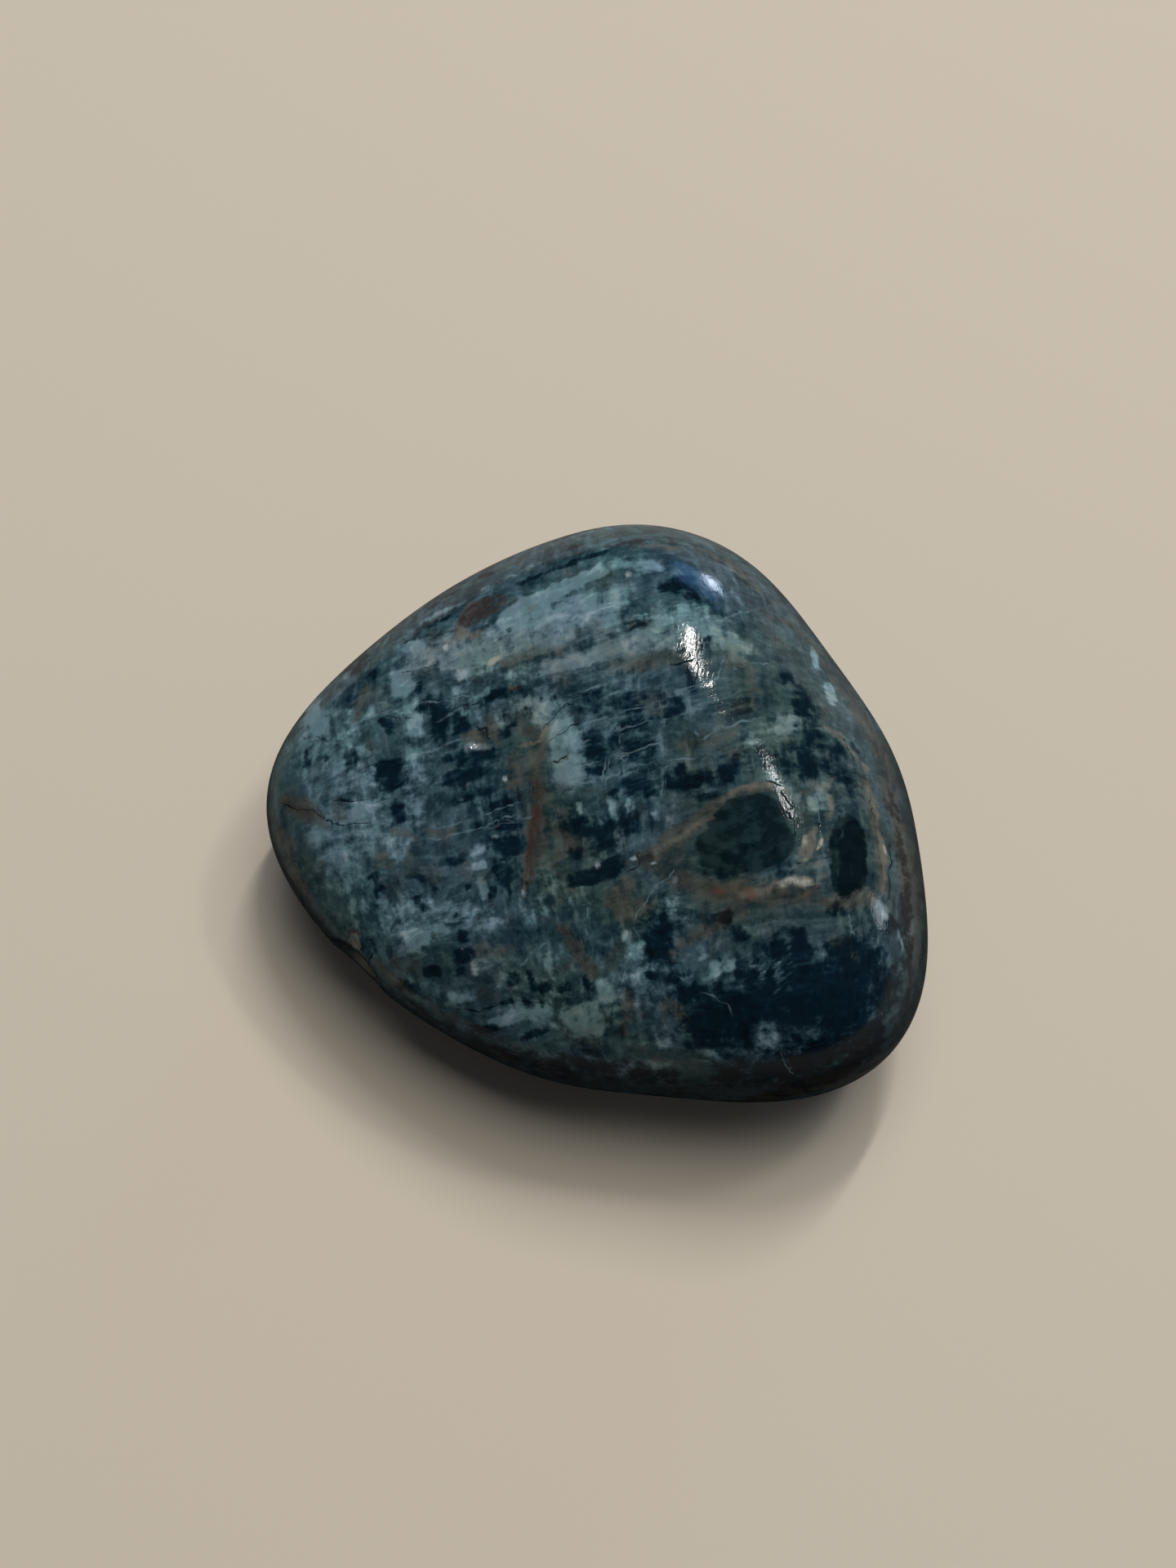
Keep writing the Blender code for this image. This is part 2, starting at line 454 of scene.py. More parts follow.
FROST_STROKES = (
    ("column cap", 0.85, 3, (478, 878, 2), (489, 875, 3), (501, 876, 2.4)),
    ("cap crumb", 0.6, 4, (565, 832, 5), (573, 824, 4)),
    ("white post", 0.75, 3, (578, 1168, 2.4), (580, 1190, 3.4), (582, 1206, 2)),
    # Painted light: the pit's lower wall, which faces the light, and a painted highlight along its lip.
    ("pit apron painted light", 0.62, 6, (572, 918, 7), (584, 915, 10), (596, 918, 7)),
    ("pit lip highlight", 1.1, 2.4, (573, 926, 2.4), (586, 925, 3.4), (599, 924, 2.6)),
)

HAIR_STROKES = (
    ("ledge line", 0.7, 2.8, (700, 849, 1.4), (722, 842, 1.8), (742, 838, 1.2)),
    ("sill line", 0.65, 2.8, (758, 950, 1.4), (782, 946, 1.6), (806, 941, 1.2)),
    ("net one", 0.7, 3, (700, 944, 1.05), (750, 930, 1.2), (806, 915, 1.05)),
    ("net two", 0.7, 3, (716, 905, 1.05), (760, 892, 1.35), (800, 884, 1.05)),
    ("net three", 0.75, 4, (804, 889, 1.5), (828, 880, 1.5), (854, 868, 1.5)),
    ("net four", 0.7, 3, (759, 890, 1.05), (761, 916, 1.35), (762, 944, 1.05)),
    ("net five", 0.8, 4, (808, 886, 1.5), (810, 930, 1.5), (811, 972, 1.5)),
    ("net six", 0.65, 4, (842, 858, 1.5), (848, 880, 1.5), (853, 900, 1.5)),
    ("net seven", 0.6, 4, (870, 766, 1.5), (905, 752, 1.5), (930, 744, 1.5)),
    ("net eight", 0.4, 4, (880, 858, 1.35), (905, 846, 1.5), (930, 832, 1.35)),
    ("net nine", 0.7, 3, (536, 880, 1.05), (560, 869, 1.2), (580, 862, 1.05)),
    ("net ten", 0.6, 3, (520, 920, 1.2), (560, 908, 1.35), (574, 905, 1.2)),
    ("net eleven", 0.5, 3, (600, 1016, 0.9), (650, 1004, 1.05)),
    ("second thread", 0.28, 2, (1031, 1012, 0.9), (1027, 1040, 1), (1026, 1088, 0.9)),
    ("hair lens", 0.25, 2, (1040, 1058, 0.8), (1044, 1072, 1), (1046, 1092, 0.8)),
    ("hair wall", 0.8, 2, (1000, 975, 0.8), (1004, 990, 1), (1004, 1006, 0.8)),
    ("hair one", 0.5, 2, (864, 1216, 0.9), (878, 1222, 1.1), (890, 1232, 1), (898, 1246, 0.7)),
    ("hair corner", 0.7, 2, (956, 1288, 0.8), (962, 1300, 1), (972, 1312, 0.8)),
    ("hair three", 0.9, 2, (740, 930, 0.8), (738, 950, 1), (737, 970, 0.8)),
    ("hair four", 0.55, 2, (540, 1010, 0.8), (580, 1000, 1.1), (640, 985, 0.9)),
    ("hair five", 0.5, 2, (520, 1028, 0.8), (580, 1014, 1), (630, 1000, 0.8)),
    ("hair six", 0.8, 2, (440, 880, 0.8), (480, 872, 1), (520, 862, 0.8), (575, 848, 0.8)),
    ("hair seven", 0.8, 2, (640, 1180, 0.8), (652, 1166, 1), (668, 1160, 0.8)),
    ("hair eight", 0.9, 2, (700, 888, 0.9), (740, 876, 1.2), (786, 866, 1), (830, 850, 0.8)),
    ("hair nine", 0.9, 2, (712, 962, 0.9), (752, 952, 1.2), (800, 938, 1), (846, 928, 0.8)),
    ("hair ten", 0.5, 2, (826, 846, 0.9), (860, 838, 1.1), (900, 820, 1), (940, 812, 0.8)),
    ("hair eleven", 0.5, 2, (860, 905, 0.9), (890, 892, 1.1), (930, 880, 0.9)),
    ("hair twelve", 0.7, 2, (780, 1120, 0.8), (800, 1090, 1), (822, 1066, 0.8)),
    ("hair thirteen", 0.8, 2, (1036, 1108, 0.8), (1042, 1130, 1), (1050, 1150, 0.8)),
    ("hair fourteen", 0.8, 2, (880, 775, 0.9), (884, 800, 1.1), (880, 830, 0.9)),
)

BARK_STROKES = (
    ("vein body", 0.8, 8, (658, 950, 6), (658, 985, 9), (655, 1020, 8), (650, 1044, 6), (646, 1070, 5)),
    ("hollow east", 0.55, 6, (645, 896, 7), (655, 892, 5)),
    ("garnet fleck", 1, 2.4, (688, 927, 2), (694, 925, 3)),
    ("flake shade", 1, 3, (429, 1146, 5), (441, 1146, 6)),
    ("mauve middle", 0.45, 12, (672, 1010, 10), (700, 1022, 12), (716, 1040, 10)),
    ("mauve pool", 0.4, 10, (690, 1070, 8), (700, 1090, 9)),
    ("mauve low", 0.45, 8, (664, 1124, 6), (684, 1142, 7), (706, 1164, 6), (722, 1188, 4)),
    ("mauve west", 0.4, 8, (470, 900, 6), (476, 916, 7)),
    ("tip moss", 0.6, 7, (350, 984, 6), (366, 992, 8), (384, 1002, 7)),
    ("bark heart", 1.4, 6, (570, 760, 10), (582, 751, 16), (596, 743, 16), (607, 736, 10)),
    ("lilac brow", 0.5, 4, (556, 714, 3), (570, 706, 4), (590, 696, 3)),
    ("band bark", 0.6, 7, (866, 1082, 7), (888, 1096, 9), (902, 1102, 8)),
)

SMOKE_STROKES = (
    ("vein halo", 1, 7, (655, 975, 8), (657, 1000, 9), (650, 1035, 8), (644, 1080, 8)),
    ("vein haze", 0.75, 12, (660, 900, 12), (655, 950, 16), (662, 1000, 14), (655, 1050, 12)),
    ("haze low", 0.5, 12, (690, 1000, 14), (695, 1030, 12), (680, 1060, 12)),
    ("pit wall", 1, 6, (575, 902, 8), (590, 898, 8), (586, 912, 9)),
    ("pit moss", 0.8, 6, (600, 880, 7), (604, 900, 8), (608, 914, 7)),
    ("haze west", 0.7, 10, (628, 926, 12), (634, 944, 15), (630, 962, 12)),
    ("green fleck", 1, 4, (624, 844, 4), (632, 843, 4)),
    ("flake dusk", 1, 7, (462, 1180, 8), (476, 1194, 9), (492, 1206, 8)),
    ("tip smudge", 1.1, 7, (346, 978, 6), (362, 984, 11), (380, 998, 12), (396, 1006, 7)),
    ("tip smudge low", 0.9, 10, (343, 1010, 8), (352, 1050, 11), (372, 1090, 11)),
    ("west smudge one", 0.8, 5, (480, 1022, 6), (500, 1022, 5), (515, 1030, 4)),
    ("west smudge two", 0.75, 6, (525, 1016, 6), (545, 1019, 7), (562, 1012, 5)),
    ("west smudge three", 0.7, 6, (466, 1050, 8), (476, 1062, 8)),
    ("west smudge four", 0.5, 6, (500, 1040, 6), (510, 1055, 7)),
    ("west thread", 0.6, 3, (452, 908, 2), (455, 925, 2.4), (455, 940, 2)),
    ("mauve thread", 0.7, 3, (484, 888, 2), (487, 902, 2.4), (490, 916, 2)),
    ("olive smudge", 0.95, 6, (450, 838, 5), (442, 858, 8), (437, 876, 6)),
    # Painted reflection: the next two lay the warm floor's reflection along the far rim.
    ("crown painted reflection", 0.7, 9, (860, 676, 10), (900, 694, 10), (930, 722, 10)),
    ("crown warm reflection", 0.6, 6, (770, 672, 7), (800, 668, 7), (830, 672, 6)),
    ("green earth", 0.6, 8, (776, 762, 11), (792, 765, 10)),
    ("ridge haze", 0.65, 12, (750, 815, 12), (785, 812, 12), (815, 806, 10), (860, 815, 12)),
    ("east haze", 0.5, 18, (890, 800, 20), (920, 840, 22), (900, 880, 18), (880, 915, 14)),
    ("east band", 0.6, 8, (830, 915, 9), (870, 905, 10), (900, 925, 9)),
    ("band haze low", 0.75, 9, (905, 1112, 14), (880, 1128, 12), (850, 1146, 10), (822, 1168, 9)),
    ("pool haze", 0.85, 8, (770, 1086, 11), (752, 1104, 13), (776, 1118, 12), (792, 1106, 10)),
    ("bark moss", 1, 5, (560, 770, 6), (568, 760, 10), (578, 742, 10)),
    ("cream haze", 0.7, 7, (618, 812, 7), (634, 807, 8), (660, 800, 8), (690, 796, 8)),
    ("loop halo", 1, 8, (792, 1054, 12), (838, 1020, 11), (872, 992, 10), (900, 975, 9)),
    ("loop halo east", 0.85, 7, (900, 975, 8), (925, 966, 8), (948, 964, 7)),
    ("band haze", 1, 8, (862, 1086, 10), (890, 1094, 15), (925, 1096, 14), (960, 1090, 10)),
    ("second shade", 1, 7, (1062, 960, 9), (1070, 1000, 9), (1080, 1040, 10), (1080, 1084, 10)),
    ("second sill", 1, 7, (1068, 1098, 8), (1044, 1104, 8), (1018, 1104, 8), (1000, 1102, 6)),
    ("warm field", 0.75, 14, (864, 1086, 18), (900, 1096, 22), (950, 1094, 18), (990, 1094, 14)),
    ("warm field west", 0.6, 14, (806, 1062, 12), (838, 1078, 16), (864, 1092, 18)),
    ("wall field", 0.5, 10, (964, 970, 8), (978, 1000, 9), (996, 1040, 12), (1008, 1080, 9)),
    # Painted reflection and painted shade: the next five tint the right rim brown-grey, as the warm floor's
    # reflection in the shaded flank.
    ("right painted reflection", 0.9, 14, (1082, 950, 14), (1104, 1030, 20), (1116, 1100, 22), (1118, 1180, 20)),
    ("right painted reflection south", 0.6, 14, (1120, 1180, 16), (1110, 1230, 14), (1096, 1264, 9)),
    ("right painted reflection north", 0.9, 10, (980, 745, 8), (1020, 810, 9), (1060, 880, 10), (1096, 960, 10)),
    ("flank painted reflection", 0.8, 9, (1108, 1010, 10), (1122, 1070, 11), (1126, 1130, 11), (1118, 1190, 11)),
    ("flank painted reflection north", 0.8, 8, (990, 780, 8), (1030, 845, 9), (1070, 915, 8), (1095, 965, 7)),
    ("dusk brown", 0.55, 7, (1025, 1155, 8), (1040, 1150, 8), (1045, 1175, 6)),
    ("mauve slope one", 0.8, 8, (688, 1144, 10), (708, 1166, 12), (726, 1190, 10)),
    ("grey slope", 0.6, 8, (586, 1160, 10), (608, 1164, 10), (628, 1158, 8)),
    ("hearth one", 0.9, 6, (768, 1216, 5), (768, 1240, 7), (764, 1262, 7)),
    ("hearth three", 0.7, 7, (800, 1296, 7), (820, 1300, 6), (850, 1306, 6)),
    ("hearth four", 0.75, 6, (815, 1230, 8), (832, 1240, 8), (842, 1248, 6)),
)

TAN_STROKES = (
    ("vein tail", 0.6, 4, (644, 1058, 2), (642, 1080, 3), (640, 1102, 3.4)),
    ("vein glint", 1, 2.5, (641, 1090, 2.4), (641, 1096, 2.4)),
    ("pit cream", 0.7, 5, (580, 894, 5), (588, 903, 6)),
    ("ledge tan", 1, 3.4, (633, 915, 2), (646, 910, 3), (659, 905, 3), (667, 897, 4), (672, 886, 4)),
    ("flake", 1.2, 3, (434, 1158, 9), (443, 1172, 10), (450, 1186, 7), (455, 1199, 3)),
    ("flake sliver", 1, 2, (424, 1143, 2), (424, 1158, 2.6), (419, 1165, 3)),
    ("bark flush", 0.5, 4, (608, 748, 4), (611, 741, 4)),
    ("bark apron", 0.8, 4, (556, 784, 4), (564, 775, 7), (580, 776, 7), (592, 770, 5)),
    ("loop rise", 0.75, 5.5, (800, 1048, 4), (818, 1036, 4), (836, 1023, 3.6), (852, 1012, 3.6)),
    ("loop shoulder", 1, 4.9, (852, 1012, 3.4), (866, 1003, 4), (880, 997, 3)),
    ("loop crest", 0.85, 5.5, (884, 980, 3), (896, 971, 3.6), (912, 965, 4), (944, 960, 3.4)),
    ("loop wing", 0.6, 4.5, (977, 956, 2), (996, 961, 2.6), (1012, 962, 2.6), (1032, 948, 1.8)),
    ("arch", 0.7, 4.9, (982, 973, 2.4), (995, 964, 3), (1010, 963, 3), (1020, 970, 3), (1023, 982, 3)),
    ("arch pillar", 0.95, 5.5, (1018, 976, 4.4), (1017, 988, 5.4), (1013, 999, 5)),
    ("shell", 1, 4, (1000, 1018, 7), (994, 1028, 9), (987, 1040, 9), (984, 1052, 6)),
    ("band pale", 1, 5.5, (950, 1082, 4), (965, 1078, 6), (982, 1078, 6.4), (998, 1080, 4)),
    ("band bridge", 0.85, 7.5, (908, 1096, 6), (926, 1092, 6), (944, 1087, 5), (952, 1082, 4)),
    ("second east", 0.9, 5, (1060, 952, 4), (1067, 980, 5), (1073, 1002, 5), (1079, 1022, 5)),
    ("second east low", 1, 5, (1078, 1022, 6), (1082, 1045, 6), (1085, 1068, 5), (1084, 1090, 5)),
    ("crust", 0.9, 5, (1012, 893, 4), (1028, 902, 5), (1038, 916, 5), (1048, 930, 5), (1060, 942, 6)),
    ("crust low", 0.55, 4, (1060, 942, 3), (1066, 960, 3), (1069, 985, 3), (1074, 1006, 2.4)),
    ("second bottom", 0.6, 5.5, (1072, 1083, 3), (1060, 1090, 4), (1044, 1097, 4), (1016, 1099, 3)),
    ("dusk bead", 0.6, 3.5, (1041, 1166, 3), (1043, 1172, 3)),
    ("dusk thread", 0.45, 2, (1040, 1140, 1.2), (1041, 1160, 1.2)),
    ("corner scar", 0.5, 4, (1088, 1268, 3), (1094, 1262, 3)),
)

CREAM_STROKES = (
    ("ledge cream", 0.5, 4, (660, 902, 1.6), (668, 892, 2.4), (672, 885, 2)),
    ("flake core", 0.6, 4, (436, 1162, 5), (444, 1174, 5), (450, 1186, 3)),
    ("bark crumb", 0.9, 2, (545, 792, 2), (548, 788, 2.4)),
    ("cream streak", 0.85, 3.5, (597, 816, 3), (604, 811, 5), (612, 808, 4)),
    ("cream tick", 0.8, 2.6, (628, 804, 2), (630, 794, 2.4)),
    ("cream crumb", 0.7, 2.4, (647, 795, 2.6), (650, 792, 2)),
    ("loop glints", 0.7, 2.4, (866, 1002, 1.6), (873, 999, 2.2), (880, 996, 1.4)),
    ("shell cream", 0.8, 4, (988, 1024, 3), (984, 1036, 3.4), (990, 1042, 2.6)),
    ("shell glint", 1, 2.2, (1006, 1023, 1.8), (1008, 1032, 3), (1002, 1040, 2.4)),
    ("shell crumb", 0.85, 2.4, (984, 1052, 2.6), (990, 1054, 2)),
    ("band pale core", 0.95, 5, (956, 1079, 3.4), (973, 1077, 5), (990, 1077, 4.4)),
    ("crust glint", 0.7, 2.6, (1028, 899, 1.6), (1036, 907, 2.4), (1038, 914, 1.4)),
    ("crust glint low", 0.6, 3, (1052, 932, 2), (1061, 940, 3), (1064, 950, 1.6)),
    ("second bead", 0.9, 2.4, (1082, 1039, 3), (1083, 1045, 3)),
)

RUST_STROKES = (
    ("crown rust", 0.5, 5, (618, 700, 3), (628, 688, 3), (634, 674, 3)),
    ("band rust", 0.95, 5, (912, 1082, 4), (917, 1090, 6), (922, 1099, 6)),
    ("band rust west", 0.6, 6, (880, 1090, 5), (896, 1086, 6), (912, 1086, 5)),
    ("band flame", 1.05, 3.4, (986, 1094, 2.6), (993, 1090, 4), (999, 1086, 2.6)),
    ("second ember", 0.7, 2.6, (1077, 1016, 1.6), (1079, 1024, 2)),
    ("ember east", 0.4, 6, (1080, 1186, 5), (1086, 1194, 5)),
    ("mauve slope two", 0.22, 6, (696, 1158, 4), (712, 1176, 5), (722, 1188, 4)),
    ("hearth two", 0.42, 6, (766, 1278, 5), (780, 1284, 6), (796, 1290, 5)),
)

LENS_STROKES = (
    ("lens roof", 1, 7, (880, 1008, 14), (902, 996, 20), (925, 992, 22), (944, 1000, 22)),
    ("lens heart", 1, 7, (866, 1036, 14), (895, 1028, 26), (925, 1026, 30), (952, 1026, 22)),
    ("lens foot", 1, 6, (866, 1050, 10), (895, 1056, 14), (925, 1052, 16), (952, 1042, 14)),
    ("lens east", 1.4, 9, (1041, 1020, 24), (1040, 1052, 26), (1038, 1078, 22)),
)

CRACK_STROKES = (
    ("shell hole", 1, 2, (1003, 1013, 2), (1002, 1020, 3.2), (1001, 1028, 2)),
    ("crack tip", 0.8, 1.6, (370, 906, 0.8), (399, 901, 1), (419, 904, 1), (433, 899, 0.8)),
    ("crack west", 1, 1.8, (414, 979, 1), (426, 977, 2.2), (434, 978, 1.4), (457, 978, 0.8)),
    ("crack low", 0.85, 1.8, (396, 1002, 1), (408, 1005, 1.8), (420, 1006, 1.6), (450, 1007, 0.8)),
    ("crack brow", 0.7, 1.6, (440, 941, 0.8), (464, 932, 1), (490, 927, 1)),
    ("crack mauve", 0.6, 1.6, (492, 823, 0.8), (512, 821, 1), (534, 813, 0.8)),
    ("crack heart", 0.7, 1.8, (676, 904, 1), (690, 896, 1.2), (700, 884, 1), (712, 880, 0.8)),
    ("crack nub", 0.95, 2, (684, 930, 1.4), (692, 926, 2.6), (698, 922, 1.4)),
    ("crack ledge", 0.8, 1.8, (704, 849, 1), (716, 846, 1.4), (728, 841, 1)),
    ("crack crest one", 0.8, 1.8, (824, 815, 1.6), (832, 811, 2.4), (843, 814, 1.6)),
    ("crack crest two", 0.75, 1.6, (844, 796, 1), (845, 806, 1.4), (850, 818, 1.2)),
    ("crack crest three", 0.8, 1.6, (856, 812, 0.8), (855, 822, 1), (852, 834, 1)),
    ("crack crest four", 0.8, 1.8, (944, 956, 1.2), (952, 958, 1.6), (958, 962, 1)),
    ("crack crest five", 0.8, 1.8, (958, 972, 1), (964, 980, 1.6), (968, 990, 1)),
    ("crack crest six", 0.8, 1.6, (966, 1000, 0.8), (972, 1012, 1.2), (974, 1020, 0.8)),
    ("crack crust", 0.8, 2, (1034, 910, 1.4), (1038, 920, 2.4), (1042, 930, 1.4)),
    ("crack arc", 0.8, 2, (1064, 972, 0.8), (1068, 996, 1), (1078, 1016, 1.4), (1080, 1026, 1)),
    ("crack east rim", 1, 1.8, (1090, 1034, 0.9), (1092, 1055, 1.6), (1090, 1080, 1.6), (1087, 1097, 1.2)),
    # Painted shadow: the dark edge inside the pit, on the wall that faces away from the light; it also cuts
    # a groove.
    ("crack pit", 1, 1.6, (587, 891, 2), (597, 893, 2.4), (599, 903, 2.2), (600, 919, 1.4)),
    ("crack flake", 1, 1.6, (452, 1152, 1), (456, 1164, 1.6), (452, 1178, 1.4)),
    ("crack tip low", 0.9, 1.6, (344, 984, 1.4), (362, 990, 1), (395, 1000, 0.8)),
    ("crack heart low", 0.8, 1.6, (668, 968, 0.8), (684, 975, 1), (700, 968, 0.7)),
    ("crack pale", 0.9, 1.6, (668, 890, 0.8), (684, 874, 1.2), (704, 858, 1)),
    ("crack pool", 0.8, 2, (770, 1068, 1.4), (780, 1060, 1.6), (782, 1050, 1.2)),
    ("crack vein", 0.6, 2, (652, 966, 1), (653, 980, 1.4), (651, 992, 1)),
    ("crack column", 0.7, 1.6, (478, 882, 0.8), (490, 881, 1.2), (500, 882, 0.8)),
    ("crack slope", 0.6, 2, (560, 1236, 1), (590, 1231, 1.4), (625, 1226, 1.2), (665, 1229, 0.8)),
)

VEIN_STROKES = (
    ("vein line", 1, 2, (657, 955, 1.2), (655, 975, 2.2), (658, 996, 2.8), (654, 1018, 2.2)),
    ("vein line low", 1, 2, (654, 1018, 1.6), (648, 1040, 2), (645, 1058, 1.6), (642, 1076, 1)),
    ("vein twin", 0.8, 2, (662, 985, 0.8), (664, 1000, 1), (660, 1018, 0.8)),
)

STROKES = {
    Stain.SOFT: SOFT_STROKES,
    Stain.PALE: PALE_STROKES,
    Stain.NAVY: NAVY_STROKES,
    Stain.DRAB: DRAB_STROKES,
    Stain.FIBRE: FIBRE_STROKES,
    Stain.FROST: FROST_STROKES,
    Stain.HAIR: HAIR_STROKES,
    Stain.BARK: BARK_STROKES,
    Stain.SMOKE: SMOKE_STROKES,
    Stain.TAN: TAN_STROKES,
    Stain.CREAM: CREAM_STROKES,
    Stain.RUST: RUST_STROKES,
    Stain.LENS: LENS_STROKES,
    Stain.CRACK: CRACK_STROKES,
    Stain.VEIN: VEIN_STROKES,
}

# The underside's strokes, in the same order, with millimetres along X, along Y and half width.
BELLY_STROKES = {
    Stain.PALE: (
        ("belly cloud", 0.42, 3, (-12, 2, 3), (-4, 5, 4), (5, 6, 3), (13, 8, 2)),
        ("belly shore", 0.4, 2.4, (2, -12, 2), (9, -9, 3), (16, -6, 2)),
    ),
    Stain.RUST: (("belly vein", 0.8, 0.4, (-16, 10, 0.3), (-8, 3, 0.5), (-2, -1, 0.35), (6, -4, 0.3)),),
    Stain.SMOKE: (("belly vein glow", 0.8, 0.9, (-16, 10, 1), (-8, 3, 1.4), (-2, -1, 1.2), (6, -4, 1)),),
    Stain.TAN: (("belly branch", 0.7, 0.4, (-2, -1, 0.3), (2, 3, 0.35), (8, 6, 0.25), (12, 12, 0.2)),),
    Stain.NAVY: (("belly night", 0.42, 2.6, (-14, -5, 2), (-6, -5, 3), (3, -3, 2.4), (12, 0, 2)),),
    Stain.CRACK: (("belly crack", 0.8, 0.12, (-4, 12, 0.06), (1, 9, 0.1), (7, 8, 0.06)),),
}

